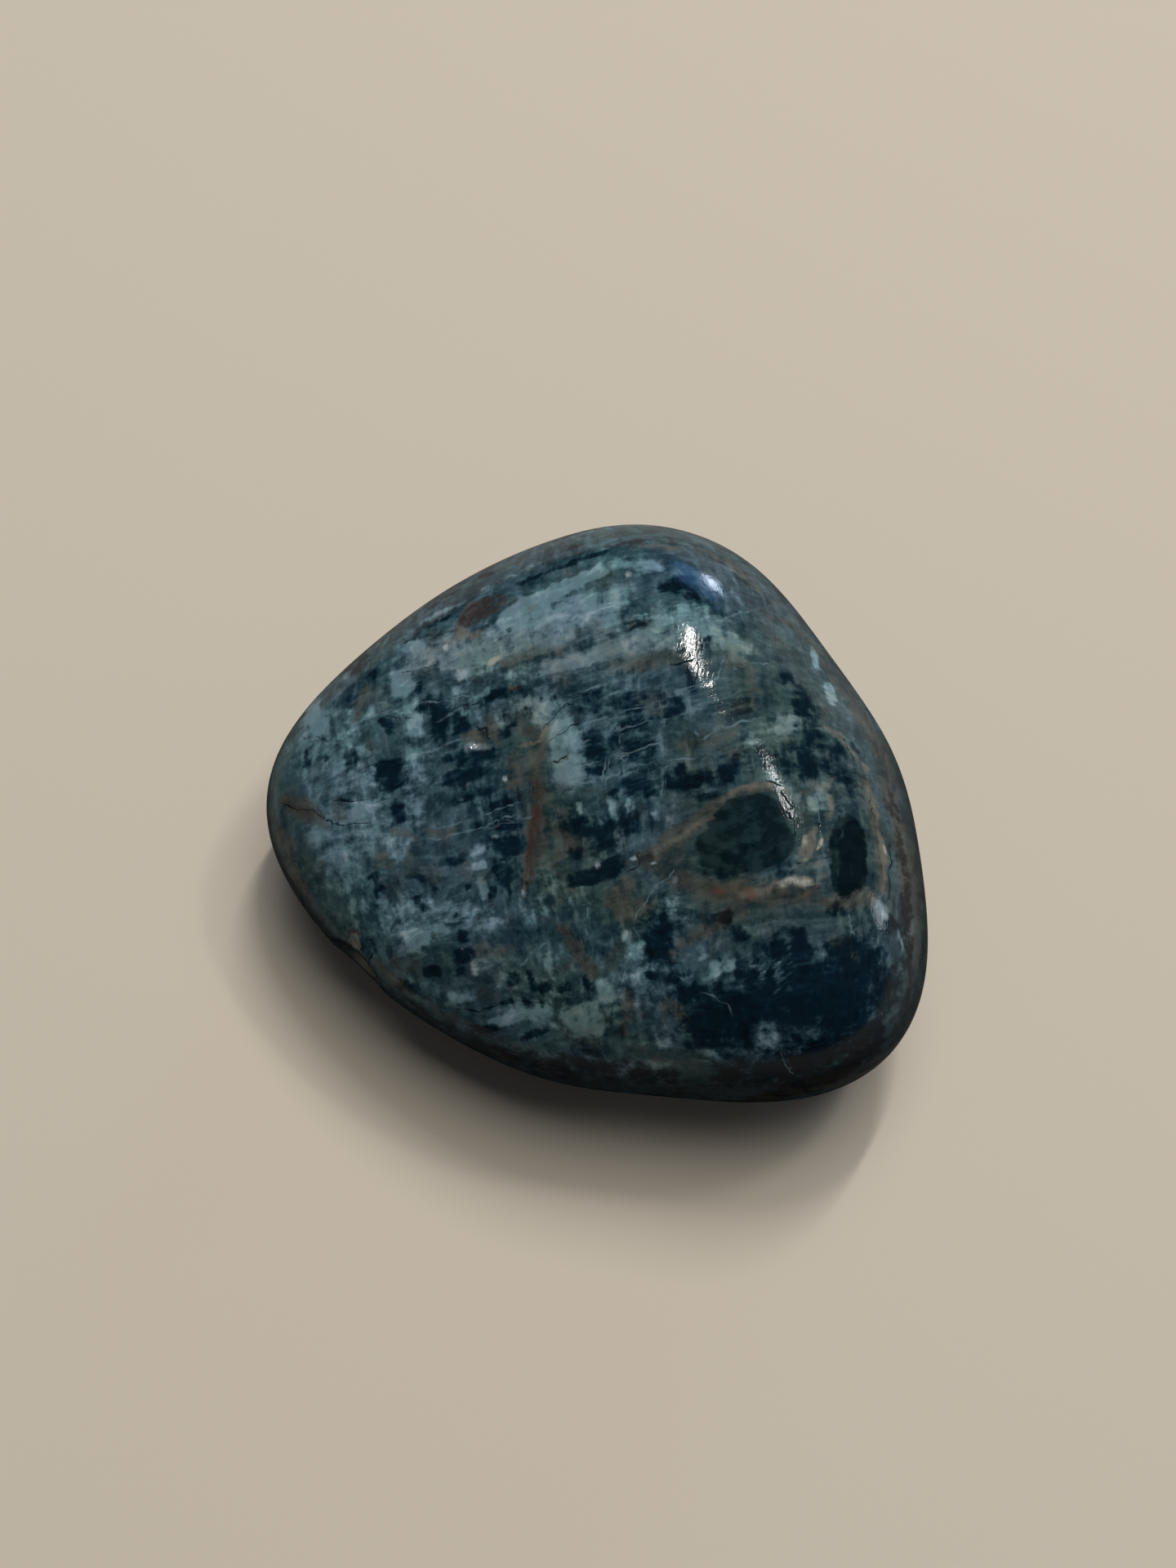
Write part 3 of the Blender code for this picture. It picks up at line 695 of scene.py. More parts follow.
# Blocky cells in the view's frame, by stain and by place: each has its middle across and down, half its
# width and half its height, in pixels of that frame, and its strength.
CELLS = {
    Stain.PALE: {
        "tip": (
            (384, 881, 12, 25, 1), (433, 994, 22, 10, 0.95), (400, 1030, 22, 22, 0.6),
            (440, 1108, 14, 12, 0.6),
        ),
        "column": (
            (492, 836, 13, 17, 1.1), (508, 889, 11, 15, 1), (505, 921, 7, 12, 0.9), (508, 985, 7, 14, 0.8),
        ),
        "grey": (
            (505, 798, 16, 6, 0.7), (509, 1150, 20, 13, 0.85), (541, 1143, 12, 10, 0.8),
            (608, 1123, 9, 6, 0.8), (584, 1131, 10, 7, 0.7), (565, 1221, 21, 8, 0.85),
        ),
        "shelf": ((572, 825, 12, 8, 0.95), (561, 843, 8, 6, 0.7), (865, 1171, 13, 4, 0.7)),
        "heart": ((695, 947, 20, 13, 1.1), (707, 902, 8, 16, 1), (684, 924, 8, 5, 0.9)),
        "north": ((668, 861, 16, 13, 0.95), (690, 872, 12, 12, 0.6)),
        "cloud": ((961, 887, 19, 12, 0.95), (919, 909, 13, 12, 0.5), (936, 926, 10, 10, 0.35)),
        "teal": ((728, 808, 26, 10, 0.6), (824, 1108, 9, 8, 0.7), (824, 1077, 4, 5, 1)),
        # On the right flank: the first two are pale strokes, and the last three are painted reflection of
        # the light from the right.
        "flank": (
            (998, 806, 4, 13, 0.9), (1017, 848, 5, 13, 0.95), (1082, 1118, 5, 13, 1),
            (1102, 1149, 4, 12, 0.95), (1117, 1136, 5, 9, 0.7),
        ),
        "lens": ((1003, 980, 19, 14, 0.8), (947, 950, 8, 16, 0.7)),
        "button": ((586, 1062, 9, 6, 1.1), (586, 1041, 10, 7, 0.8), (590, 1090, 8, 12, 0.7)),
        "low": ((715, 1250, 26, 22, 0.95), (740, 1214, 10, 14, 0.85)),
        "post": ((771, 1144, 7, 10, 0.95), (781, 1162, 12, 18, 0.65), (787, 1198, 12, 20, 0.5)),
        "hook": ((875, 1187, 8, 8, 0.95), (893, 1184, 7, 7, 0.85)),
        "corner": ((934, 1268, 22, 18, 0.5), (1023, 1280, 3, 10, 0.6), (1040, 1276, 3, 9, 0.5)),
        "strand": (
            (771, 986, 4, 13, 0.95), (750, 984, 4, 10, 0.8), (712, 990, 4, 8, 0.85), (699, 1105, 3, 6, 0.95),
            (716, 1118, 3, 9, 0.7), (800, 1000, 4, 10, 0.7), (820, 1010, 4, 8, 0.6),
        ),
        "lone": (
            (454, 870, 6, 8, 0.75), (513, 815, 20, 7, 0.8), (668, 744, 14, 8, 0.8), (795, 695, 20, 9, 0.7),
            (672, 1183, 5, 12, 1), (675, 1072, 10, 9, 0.8), (839, 1200, 7, 9, 1.15), (957, 1149, 15, 7, 0.6),
            (814, 1273, 10, 11, 0.9), (872, 1289, 13, 10, 0.7),
        ),
    },
    Stain.NAVY: {
        "tip": ((375, 929, 4, 9, 0.95), (401, 932, 3, 8, 0.9), (427, 932, 8, 9, 1)),
        "block": ((478, 949, 18, 20, 1), (490, 995, 7, 12, 1)),
        "dot": (
            (465, 981, 6, 5, 0.7), (513, 844, 5, 7, 0.85), (463, 1091, 7, 6, 0.85), (457, 1078, 6, 5, 0.75),
            (573, 1091, 4, 5, 0.75), (602, 1091, 5, 5, 0.8), (557, 1121, 4, 6, 0.7),
            (664, 857, 3.4, 3.4, 0.9), (677, 856, 3, 3, 0.9), (643, 855, 3, 3, 0.8),
        ),
        "pillar": ((536, 874, 9, 26, 1), (516, 869, 8, 10, 0.8), (564, 884, 9, 16, 0.85)),
        "coal": (
            (586, 933, 22, 8, 1), (568, 950, 26, 10, 1), (548, 930, 6, 7, 0.8), (572, 977, 16, 3, 0.9),
            (610, 986, 14, 6, 0.9), (622, 1013, 14, 9, 0.95), (622, 1040, 16, 13, 1.1),
            (616, 1073, 12, 13, 0.95), (552, 1053, 20, 7, 0.9), (590, 1008, 8, 5, 0.8),
        ),
        "moss": ((609, 849, 14, 7, 0.75), (630, 845, 8, 5, 0.75)),
        "cell": (
            (728, 899, 12, 7, 0.9), (730, 922, 14, 10, 1), (733, 945, 14, 5, 1), (768, 890, 14, 7, 1),
            (787, 892, 7, 7, 0.85), (777, 918, 12, 11, 0.85), (796, 920, 7, 12, 0.85),
            (778, 957, 18, 10, 1.1), (798, 964, 8, 8, 1), (752, 972, 9, 6, 0.8), (852, 952, 12, 10, 1),
            (834, 944, 8, 8, 0.85), (893, 942, 11, 11, 0.95), (864, 975, 14, 7, 0.95),
            (826, 864, 12, 13, 0.85), (846, 832, 5, 16, 0.7), (864, 788, 12, 8, 0.6),
            (914, 866, 22, 10, 0.5), (982, 864, 14, 14, 0.8), (964, 832, 10, 8, 0.7),
            (990, 936, 16, 18, 0.85), (1024, 921, 9, 10, 0.75), (1046, 918, 4, 7, 1), (948, 886, 10, 8, 0.5),
        ),
        "crown": ((836, 712, 16, 10, 1), (815, 718, 9, 6, 0.85), (850, 728, 9, 5, 0.85)),
        "green": (
            (784, 761, 18, 8, 0.75), (568, 1145, 7, 7, 0.8), (886, 1124, 10, 10, 0.75),
            (904, 1144, 10, 10, 0.8), (846, 1118, 8, 8, 0.6),
        ),
        "rim": (
            (437, 812, 15, 11, 0.85), (455, 827, 8, 7, 0.7), (502, 785, 7, 4, 0.85), (598, 703, 8, 5, 0.85),
        ),
        "pool": (
            (726, 1072, 28, 11, 1.15), (750, 1058, 15, 11, 1.1), (739, 1024, 8, 18, 0.95),
            (704, 1040, 10, 8, 0.7),
        ),
        "nest": (
            (568, 1169, 15, 8, 0.95), (530, 1193, 10, 8, 0.9), (564, 1194, 7, 7, 0.85),
            (594, 1257, 15, 6, 0.9), (653, 1268, 16, 5, 1), (629, 1197, 7, 9, 0.85), (670, 1210, 10, 6, 0.9),
            (692, 1212, 9, 7, 0.75),
        ),
        "leaf": ((651, 1201, 4, 13, 1), (717, 1204, 5, 9, 1)),
        "drop": ((814, 1123, 7, 14, 1), (804, 1154, 14, 20, 1), (793, 1182, 7, 14, 0.7)),
        "slope": ((847, 1220, 22, 11, 1), (898, 1236, 20, 14, 0.95), (880, 1262, 16, 10, 0.8)),
        "night": (
            (968, 1166, 24, 26, 1), (1028, 1223, 30, 26, 1.1), (952, 1246, 12, 10, 0.9),
            (985, 1294, 8, 13, 0.85), (1030, 1172, 22, 24, 0.8), (906, 1200, 8, 16, 0.75),
            (1066, 1262, 14, 16, 0.9), (876, 1214, 10, 6, 0.7),
        ),
        "flank": ((1093, 1128, 6, 12, 0.75), (1020, 1113, 12, 8, 0.75)),
        "lone": (
            (473, 892, 7, 9, 0.95), (578, 867, 13, 7, 0.8), (650, 872, 9, 10, 0.6), (623, 771, 3, 5, 0.8),
            (519, 1110, 6, 8, 0.75),
        ),
    },
    Stain.FROST: {
        "crumb": ((546, 791, 3, 2, 0.9), (565, 832, 4, 3, 0.7)),
        "spark": (
            (619, 951, 3.4, 3.4, 1), (731, 1057, 2, 5, 1), (778, 1054, 4, 2, 1), (800, 1058, 4, 2, 0.85),
            (423, 1047, 2.4, 5, 0.8), (770, 702, 4, 2.2, 0.95), (606, 1029, 4, 2, 0.85),
            (566, 1163, 2, 3, 0.8), (641, 1093, 2.4, 4, 0.7), (1083, 1241, 2.4, 3, 0.7),
        ),
        "post": ((771, 1140, 2.4, 6, 0.7), (766, 1148, 2, 5, 0.6)),
        # Painted highlights: reflections of the light from the right on the lower right flank.
        "painted gleam": ((1082, 1122, 3, 7, 0.65), (1104, 1152, 2.2, 8, 0.6)),
    },
}


@dataclass(frozen=True)
class BellyCrystals:
    """Small crystals, pale and dark by turns, strewn over the underside, in millimetres.

    Attributes:
        count, seed: how many there are, and what their places and sizes are drawn from.
        spread, squash: how far from the middle they lie along X, and along Y as a share of that.
        halves, runs, strengths: the least and the greatest half width, length along X and strength.
        rise: how far they run along Y, as a share of their length along X.
        narrowing: the half width at their far end, as a share of the near end's.
        soft: how far their edges fade.
    """

    count: int = 54
    seed: int = 5
    spread: float = 15.5
    squash: float = 0.8
    halves: tuple[float, float] = (0.35, 1.2)
    runs: tuple[float, float] = (0.3, 2.8)
    rise: float = 0.25
    narrowing: float = 0.8
    strengths: tuple[float, float] = (0.5, 1.05)
    soft: float = 0.7

    def marks(self) -> Iterator[Mark]:
        """Draws the crystals one by one, and gives their marks."""
        dice = np.random.default_rng(self.seed)
        for index in range(self.count):
            heading = dice.uniform(0.0, 2.0 * math.pi)
            far = self.spread * math.sqrt(dice.uniform())
            across, down = far * math.cos(heading), self.squash * far * math.sin(heading)
            half, run = dice.uniform(*self.halves), dice.uniform(*self.runs)
            end = (across + run, down + self.rise * run, self.narrowing * half)
            stain = Stain.NAVY if index % 2 else Stain.PALE
            strength = dice.uniform(*self.strengths)
            path = ((across, down, half), end)
            yield Mark(f"belly crystal {index + 1}", stain, path, strength, self.soft, Side.BELLY)


def drawn_marks() -> list[Mark | Cell]:
    """Every marking of the stone, strokes first and cells last."""
    marks: list[Mark | Cell] = [
        Mark(name, stain, tuple(path), strength, soft, side)
        for side, table in ((Side.VIEW, STROKES), (Side.BELLY, BELLY_STROKES))
        for stain, rows in table.items()
        for name, strength, soft, *path in rows
    ]
    marks += BellyCrystals().marks()
    marks += [
        Cell(f"{place} {number}", stain, *sizes)
        for stain, places in CELLS.items()
        for place, rows in places.items()
        for number, sizes in enumerate(rows, 1)
    ]
    return marks


def beside_run(spots: np.ndarray, start: np.ndarray, run: np.ndarray) -> tuple[np.ndarray, np.ndarray]:
    """How far along a straight run each spot's nearest point is, from 0 to 1, and the way from there."""
    share = np.clip((spots - start) @ run / max(run @ run, TINY), 0.0, 1.0)
    return share, spots - start - share[:, None] * run


@dataclass(frozen=True)
class PlacedMark:
    """A stroke laid on the stone.

    Attributes:
        outside: the depth that a spot starts from, far outside any stroke.
        mark: the stroke.
        points: its path on the surface, in metres.
        half_widths: its half width at each point, in metres.
        soft: how far its edge fades, in metres.
    """

    outside = -1.0

    mark: Mark
    points: np.ndarray
    half_widths: np.ndarray
    soft: float

    @property
    def middle(self) -> np.ndarray:
        """The stroke's middle."""
        return self.points.mean(axis=0)

    @property
    def reach(self) -> float:
        """How far from its middle the stroke can show."""
        spread = np.linalg.norm(self.points - self.middle, axis=1).max()
        return spread + self.half_widths.max() + self.soft

    def runs(self) -> Iterator[tuple[np.ndarray, np.ndarray, float, float]]:
        """The stroke's straight runs: where each starts, its way, and its half widths at both ends."""
        halves = self.half_widths
        ends = zip(self.points[:-1], self.points[1:], halves[:-1], halves[1:])
        yield from ((start, end - start, near, far) for start, end, near, far in ends)

    def depth(self, spots: np.ndarray) -> np.ndarray:
        """How far inside the stroke's edge each spot lies, in metres, below zero outside it."""
        deepest = np.full(len(spots), self.outside)
        for start, run, half_start, half_end in self.runs():
            share, gap = beside_run(spots, start, run)
            half = half_start + (half_end - half_start) * share
            deepest = np.maximum(deepest, half - np.linalg.norm(gap, axis=1))
        return deepest


@dataclass(frozen=True)
class PlacedCell:
    """A blocky marking laid on the stone.

    Attributes:
        squareness: how square its corners are: 2 for an ellipse, and more for a block.
        corner_reach: how far its corners reach, as a share of its longer half.
        margin: what is added to its reach, in metres.
        least: what keeps the root in its depth above zero.
        mark: the marking.
        middle: its middle on the surface, in metres.
        axes: its axes along, across and away from the eye.
        halves: its half sizes along and across, in metres.
        soft: how far its edge fades, in metres.
    """

    squareness = 4
    corner_reach = 1.5
    margin = 1.0 * MM
    least = 1e-9

    mark: Cell
    middle: np.ndarray
    axes: tuple[np.ndarray, np.ndarray, np.ndarray]
    halves: tuple[float, float]
    soft: float

    @property
    def reach(self) -> float:
        """How far from its middle the marking can show."""
        return self.corner_reach * max(self.halves) + self.soft + self.margin

    def depth(self, spots: np.ndarray) -> np.ndarray:
        """How far inside the marking's edge each spot lies, in metres, below zero outside it."""
        gap = spots - self.middle
        along, across = (np.abs(gap @ axis) / half for axis, half in zip(self.axes, self.halves))
        share = (along**self.squareness + across**self.squareness + self.least) ** (1.0 / self.squareness)
        return (1.0 - share) * min(self.halves)


class Markings:
    """The stone's markings, laid on its surface and measured at the skin's points.

    Attributes:
        rim_reach: how far past the rim a point may lie and still be laid on the rim, in metres.
        below: height that the underside's markings are laid from, in metres.
        deep: the least strength of a crack that cuts a groove.
        thread_reach: how far from a fine line its closeness fades out, in metres.
        far_side: the most half widths away from a fine line that are told apart.
        ripples: the length and height of each set of waves that an outline wanders in, in metres.
        ripple_count, ripple_seed, ripple_start: how many waves a set has, what their headings are
            drawn from, and how far along itself a wave may start, in radians.
    """

    rim_reach = 4.0 * MM
    below = -50.0 * MM
    deep = 0.85
    thread_reach = 0.5 * MM
    far_side = 9.0
    ripples = ((3.1 * MM, 0.16 * MM), (1.3 * MM, 0.11 * MM), (0.6 * MM, 0.06 * MM))
    ripple_count = 6
    ripple_seed = 7
    ripple_start = 6.3

    def __init__(self, stone: bpy.types.Object, view: Viewpoint, marks: list[Mark | Cell]) -> None:
        """Lays the markings on the stone.

        Args:
            stone: the solid that they lie on.
            view: the frame that the VIEW side's points are given in.
            marks: the markings.
        """
        self.view = view
        self.tree = BVHTree.FromObject(stone, bpy.context.evaluated_depsgraph_get())
        self.placed = [self.place(mark) for mark in marks]

    def touch(self, mark: Mark | Cell, across: float, down: float) -> Vector:
        """Where a point of a marking meets the stone.

        Args:
            mark: the marking.
            across: the point's first number.
            down: the point's second number.

        Returns:
            The place on the surface, in metres.
        """
        if isinstance(mark, Mark) and mark.side is Side.BELLY:
            origin = Vector((across * MM, down * MM, self.below))
            direction = Vector((0.0, 0.0, 1.0))
        else:
            origin = Vector(self.view.eye)
            direction = self.view.ray(across, down)
        place, _normal, _face, _distance = self.tree.ray_cast(origin, direction)
        if place is None:
            beside = origin + direction * (Vector(MIDDLE) - origin).dot(direction)
            place, _normal, _face, past = self.tree.find_nearest(beside)
            log.info("marking %s: %.1f mm past the rim at %d, %d", mark.name, past / MM, across, down)
            if past > self.rim_reach:
                raise ValueError(f"marking {mark.name} misses the stone at {across}, {down}")
        return place

    def place(self, mark: Mark | Cell) -> PlacedMark | PlacedCell:
        """Lays one marking on the stone."""
        if isinstance(mark, Cell):
            middle = self.touch(mark, mark.across, mark.down)
            unit = self.view.pixel_size(middle)
            halves = (mark.half_wide * unit, mark.half_high * unit)
            return PlacedCell(mark, np.array(middle), self.view.axes(mark.lean), halves, mark.soft * unit)
        points = [self.touch(mark, across, down) for across, down, _half in mark.path]
        unit = MM if mark.side is Side.BELLY else self.view.pixel_size(points[0])
        halves = np.array([half * unit for _across, _down, half in mark.path])
        return PlacedMark(mark, np.array(points), halves, mark.soft * unit)

    def wandered(self, spots: np.ndarray) -> np.ndarray:
        """Places moved a little, in gentle waves, so that a marking's outline wanders.

        Args:
            spots: places in the row frame, one to a row.

        Returns:
            The moved places.
        """
        dice = np.random.default_rng(self.ripple_seed)
        moved = spots.copy()
        for length, height in self.ripples:
            for _wave in range(self.ripple_count):
                ripple = dice.normal(size=3)
                ripple *= 2.0 * math.pi / length / np.linalg.norm(ripple)
                push = dice.normal(size=3) * height / math.sqrt(self.ripple_count)
                moved += np.sin(spots @ ripple + dice.uniform(0.0, self.ripple_start))[:, None] * push
        return moved

    def measure(self, spots: np.ndarray) -> dict[str, np.ndarray]:
        """How strongly each stain shows at each spot.

        Args:
            spots: places in the row frame, one to a row.

        Returns:
            For each stain's name, a number from 0 to about 1 for each spot: half its strength at an edge.
            For each of the THREADS, that is its closeness instead, and its side is under its name with
            "_side", both as nearest_line gives them.
        """
        spots = self.wandered(spots)
        fields = {stain.value: np.zeros(len(spots)) for stain in Stain}
        for placed in self.placed:
            near = np.linalg.norm(spots - placed.middle, axis=1) < placed.reach
            if placed.mark.stain in THREADS or not near.any():
                continue
            share = np.clip(0.5 + placed.depth(spots[near]) / (2.0 * placed.soft), 0.0, 1.0)
            amount = placed.mark.strength * share * share * (3.0 - 2.0 * share)
            field = fields[placed.mark.stain.value]
            field[near] = np.maximum(field[near], amount)
        for stain in THREADS:
            fields[stain.value], fields[stain.value + "_side"] = self.nearest_line(stain, spots)
        return fields

    def nearest_line(self, stain: Stain, spots: np.ndarray) -> tuple[np.ndarray, np.ndarray]:
        """Measures the fine lines of one stain, which stay sharp between the skin's points.

        Args:
            stain: which of the THREADS.
            spots: wandered places, one to a row.

        Returns:
            How near each spot's nearest line is, from 1 on the line to 0, and on which side of that line
            the spot lies, and how many of its half widths away.
        """
        away_from_eye = self.view.axes(0.0)[2]
        closeness = np.zeros(len(spots))
        sides = np.full(len(spots), self.far_side)
        for placed in self.placed:
            if placed.mark.stain is not stain:
                continue
            span = np.linalg.norm(spots - placed.middle, axis=1) < placed.reach + self.thread_reach
            near = np.flatnonzero(span)
            for start, run, _half_start, half in placed.runs():
                _share, gap = beside_run(spots[near], start, run)
                away = np.linalg.norm(gap, axis=1)
                close = placed.mark.strength * (1.0 - away / self.thread_reach)
                better = close > closeness[near]
                chosen = near[better]
                side = np.sign(gap[better] @ np.cross(away_from_eye, run))
                closeness[chosen] = close[better]
                sides[chosen] = np.clip(side * away[better] / half, -self.far_side, self.far_side)
        return closeness, sides

    def crack_lines(self) -> bpy.types.Object:
        """The cracks' paths as one curve object, which the skin's grooves follow.

        Returns:
            The curve object.
        """
        data = bpy.data.curves.new("crack_lines", "CURVE")
        data.dimensions = "3D"
        for placed in self.placed:
            if placed.mark.stain is not Stain.CRACK or placed.mark.strength < self.deep:
                continue
            spline = data.splines.new("POLY")
            spline.points.add(len(placed.points) - 1)
            for knot, place in zip(spline.points, placed.points):
                knot.co = (*place, 1.0)
        lines = bpy.data.objects.new("crack_lines", data)
        bpy.context.scene.collection.objects.link(lines)
        return lines


@dataclass(frozen=True)
class Skin:
    """The stone's visible skin: the solid's form with its facets smoothed out, and fine relief.

    Attributes:
        inputs: which of the next are the tree's named inputs.
        cells, side_cells: grid cells along the long and the upright edges of the box that is wrapped
            on the stone.
        stretch: how far the wrap is stretched along X, Y and Z.
        heart: the point that the wrap is cast from, in metres.
        passes: rounds of smoothing.
        waver, wave_scale: height of the polish's gentle waves, in metres, and waves to a metre.
        pit_count, seed: pits for each square metre of skin, and what their places are drawn from.
        pit_depth, pit_reach: depth of a pit and radius of the widest, in metres.
        pit_scale, least_reach: changes between wide and narrow pits to a metre, and what keeps the
            narrowest pit's radius above zero, in metres.
        crack_depth, crack_reach: depth and half width of a crack's groove, in metres.
        chip_scale: chips in a groove's edge to a metre.
        bites: places that keep their sharp edges: X, Y, height and radius, in metres.
        bite_core: how much of such a place isn't smoothed at all, as a share of its radius.
    """

    inputs = (
        "cells", "side_cells", "stretch", "heart", "passes", "waver",
        "pit_count", "pit_depth", "pit_reach", "crack_depth", "crack_reach", "seed",
    )

    cells: int = 152
    side_cells: int = 72
    stretch: Triple = (2.1, 1.95, 1.0)
    heart: Triple = (0.0, 0.0, 8.5 * MM)
    passes: int = 26
    waver: float = 0.05 * MM
    wave_scale: float = 170.0
    pit_count: float = 42000.0
    pit_depth: float = 0.05 * MM
    pit_reach: float = 0.32 * MM
    pit_scale: float = 420.0
    least_reach: float = 1e-6
    crack_depth: float = 0.09 * MM
    crack_reach: float = 0.22 * MM
    chip_scale: float = 1500.0
    seed: int = 11
    bites: tuple[tuple[float, float, float, float], ...] = (
        (-18.3 * MM, -12.5 * MM, 9.0 * MM, 4.4 * MM),
        (-8.8 * MM, 2.1 * MM, 18.4 * MM, 2.0 * MM),
    )
    bite_core: float = 0.72

    def tree(self) -> bpy.types.GeometryNodeTree:
        """Builds the tree that wraps a fine grid on the stone and gives it its relief.

        Returns:
            The tree, with named inputs for its objects and sizes.
        """
        tree = bpy.data.node_groups.new("stone skin", "GeometryNodeTree")
        objects = (("Stone", "Object"), ("Cracks", "Object"), ("Finish", "Material"))
        for name, kind in objects:
            tree.interface.new_socket(name=name, in_out="INPUT", socket_type=f"NodeSocket{kind}")
        kinds = {int: "NodeSocketInt", float: "NodeSocketFloat", tuple: "NodeSocketVector"}
        for field in self.inputs:
            size = getattr(self, field)
            name = field.replace("_", " ").title()
            socket = tree.interface.new_socket(name=name, in_out="INPUT", socket_type=kinds[type(size)])
            socket.default_value = size
        tree.interface.new_socket(name="Geometry", in_out="OUTPUT", socket_type="NodeSocketGeometry")
        graph = Graph(tree)
        given = graph.node("NodeGroupInput").outputs
        grid = self.wrap(graph, given)
        grid = self.smooth(graph, given, grid)
        grid = self.relief(graph, given, grid)
        shaded = graph.node("GeometryNodeSetShadeSmooth", {"Geometry": grid, "Shade Smooth": True})
        real = graph.node("GeometryNodeRealizeInstances", {0: shaded.outputs[0]})
        dressed = graph.node("GeometryNodeSetMaterial", {0: real.outputs[0], "Material": given["Finish"]})
        graph.node("NodeGroupOutput", {0: dressed.outputs[0]})
        return tree

    @staticmethod
    def form(graph: Graph, item: Socket) -> Socket:
        """The shape of an object that the tree is given."""
        made = graph.node("GeometryNodeObjectInfo", {"Object": item}, transform_space="RELATIVE")
        return made.outputs["Geometry"]

    def wrap(self, graph: Graph, given: bpy.types.NodeOutputs) -> Socket:
        """Wraps a cube's grid on the stone by casting it outwards from the stone's heart.

        Args:
            graph: the tree's builder.
            given: the tree's inputs.

        Returns:
            The wrapped grid's socket.
        """
        corners = graph.math("ADD", given["Cells"], 1.0)
        side_corners = graph.math("ADD", given["Side Cells"], 1.0)
        cube = graph.node(
            "GeometryNodeMeshCube",
            {
                "Size": (2.0, 2.0, 2.0),
                "Vertices X": corners,
                "Vertices Y": corners,
                "Vertices Z": side_corners,
            },
        )
        place = graph.node("GeometryNodeInputPosition").outputs[0]
        even = graph.vector("TANGENT", graph.scaled(place, math.pi / 4))
        heading = graph.vector("MULTIPLY", graph.vector("NORMALIZE", even), given["Stretch"])
        cast = graph.node(
            "GeometryNodeRaycast",
            {
                "Target Geometry": self.form(graph, given["Stone"]),
                "Source Position": given["Heart"],
                "Ray Direction": graph.vector("NORMALIZE", heading),
                "Ray Length": 1.0,
            },
        )
        wrapped = graph.node(
            "GeometryNodeSetPosition",
            {"Geometry": cube.outputs["Mesh"], "Position": cast.outputs["Hit Position"]},
        )
        return wrapped.outputs[0]

    def smooth(self, graph: Graph, given: bpy.types.NodeOutputs, grid: Socket) -> Socket:
        """Rounds the solid's facets, except in its bites, and puts back what rounding shrank.

        Args:
            graph: the tree's builder.
            given: the tree's inputs.
            grid: the wrapped grid's socket.

        Returns:
            The smooth grid's socket.
        """
        place = graph.node("GeometryNodeInputPosition").outputs[0]
        weight = 1.0
        for across, along, height, reach in self.bites:
            away = graph.apart(place, (across, along, height))
            weight = graph.math("MINIMUM", weight, graph.step(away, self.bite_core * reach, reach))

        def blurred(value: Socket) -> Socket:
            """A value evened out over the grid."""
            inputs = {"Value": value, "Iterations": given["Passes"], "Weight": weight}
            return graph.node("GeometryNodeBlurAttribute", inputs, data_type="FLOAT_VECTOR").outputs[0]

        rounded = blurred(place)
        shrunk = blurred(graph.vector("SUBTRACT", place, rounded))
        whole = graph.vector("ADD", rounded, shrunk)
        return graph.node("GeometryNodeSetPosition", {"Geometry": grid, "Position": whole}).outputs[0]

    def relief(self, graph: Graph, given: bpy.types.NodeOutputs, grid: Socket) -> Socket:
        """Adds the polish's gentle waves, scattered pits and the cracks' grooves.

        Args:
            graph: the tree's builder.
            given: the tree's inputs.
            grid: the smooth grid's socket.

        Returns:
            The finished grid's socket.
        """
        place = graph.node("GeometryNodeInputPosition").outputs[0]
        outward = graph.node("GeometryNodeInputNormal").outputs[0]

        def distance(shape: Socket, element: str) -> Socket:
            """How far each of the grid's points is from a shape's points or edges."""
            inputs = {0: shape, "Sample Position": place}
            return graph.node("GeometryNodeProximity", inputs, target_element=element).outputs["Distance"]

        pits = graph.node(
            "GeometryNodeDistributePointsOnFaces",
            {"Mesh": grid, "Density": given["Pit Count"], "Seed": given["Seed"]},
        )
        spread = graph.line(graph.noise(place, self.pit_scale, 1.0), 1.5, -0.2, clamp=True)
        reach = graph.times(spread, given["Pit Reach"])
        reach = graph.math("ADD", reach, self.least_reach)
        pit = graph.math("DIVIDE", distance(pits.outputs["Points"], "POINTS"), reach)
        pit = graph.times(graph.step(pit, 1.0, 0.15), given["Pit Depth"])
        path = graph.node("GeometryNodeCurveToMesh", {0: self.form(graph, given["Cracks"])})
        groove = graph.math("DIVIDE", distance(path.outputs[0], "EDGES"), given["Crack Reach"])
        chips = graph.line(graph.noise(place, self.chip_scale, 2.0), 0.9, 0.55)
        groove = graph.step(graph.times(groove, chips), 1.0, 0.0)
        groove = graph.times(groove, given["Crack Depth"])
        waves = graph.math("SUBTRACT", graph.noise(place, self.wave_scale, 1.0), 0.5)
        waves = graph.times(waves, given["Waver"])
        sunk = graph.math("SUBTRACT", waves, graph.math("ADD", pit, groove))
        shift = graph.scaled(outward, sunk)
        return graph.node("GeometryNodeSetPosition", {"Geometry": grid, "Offset": shift}).outputs[0]

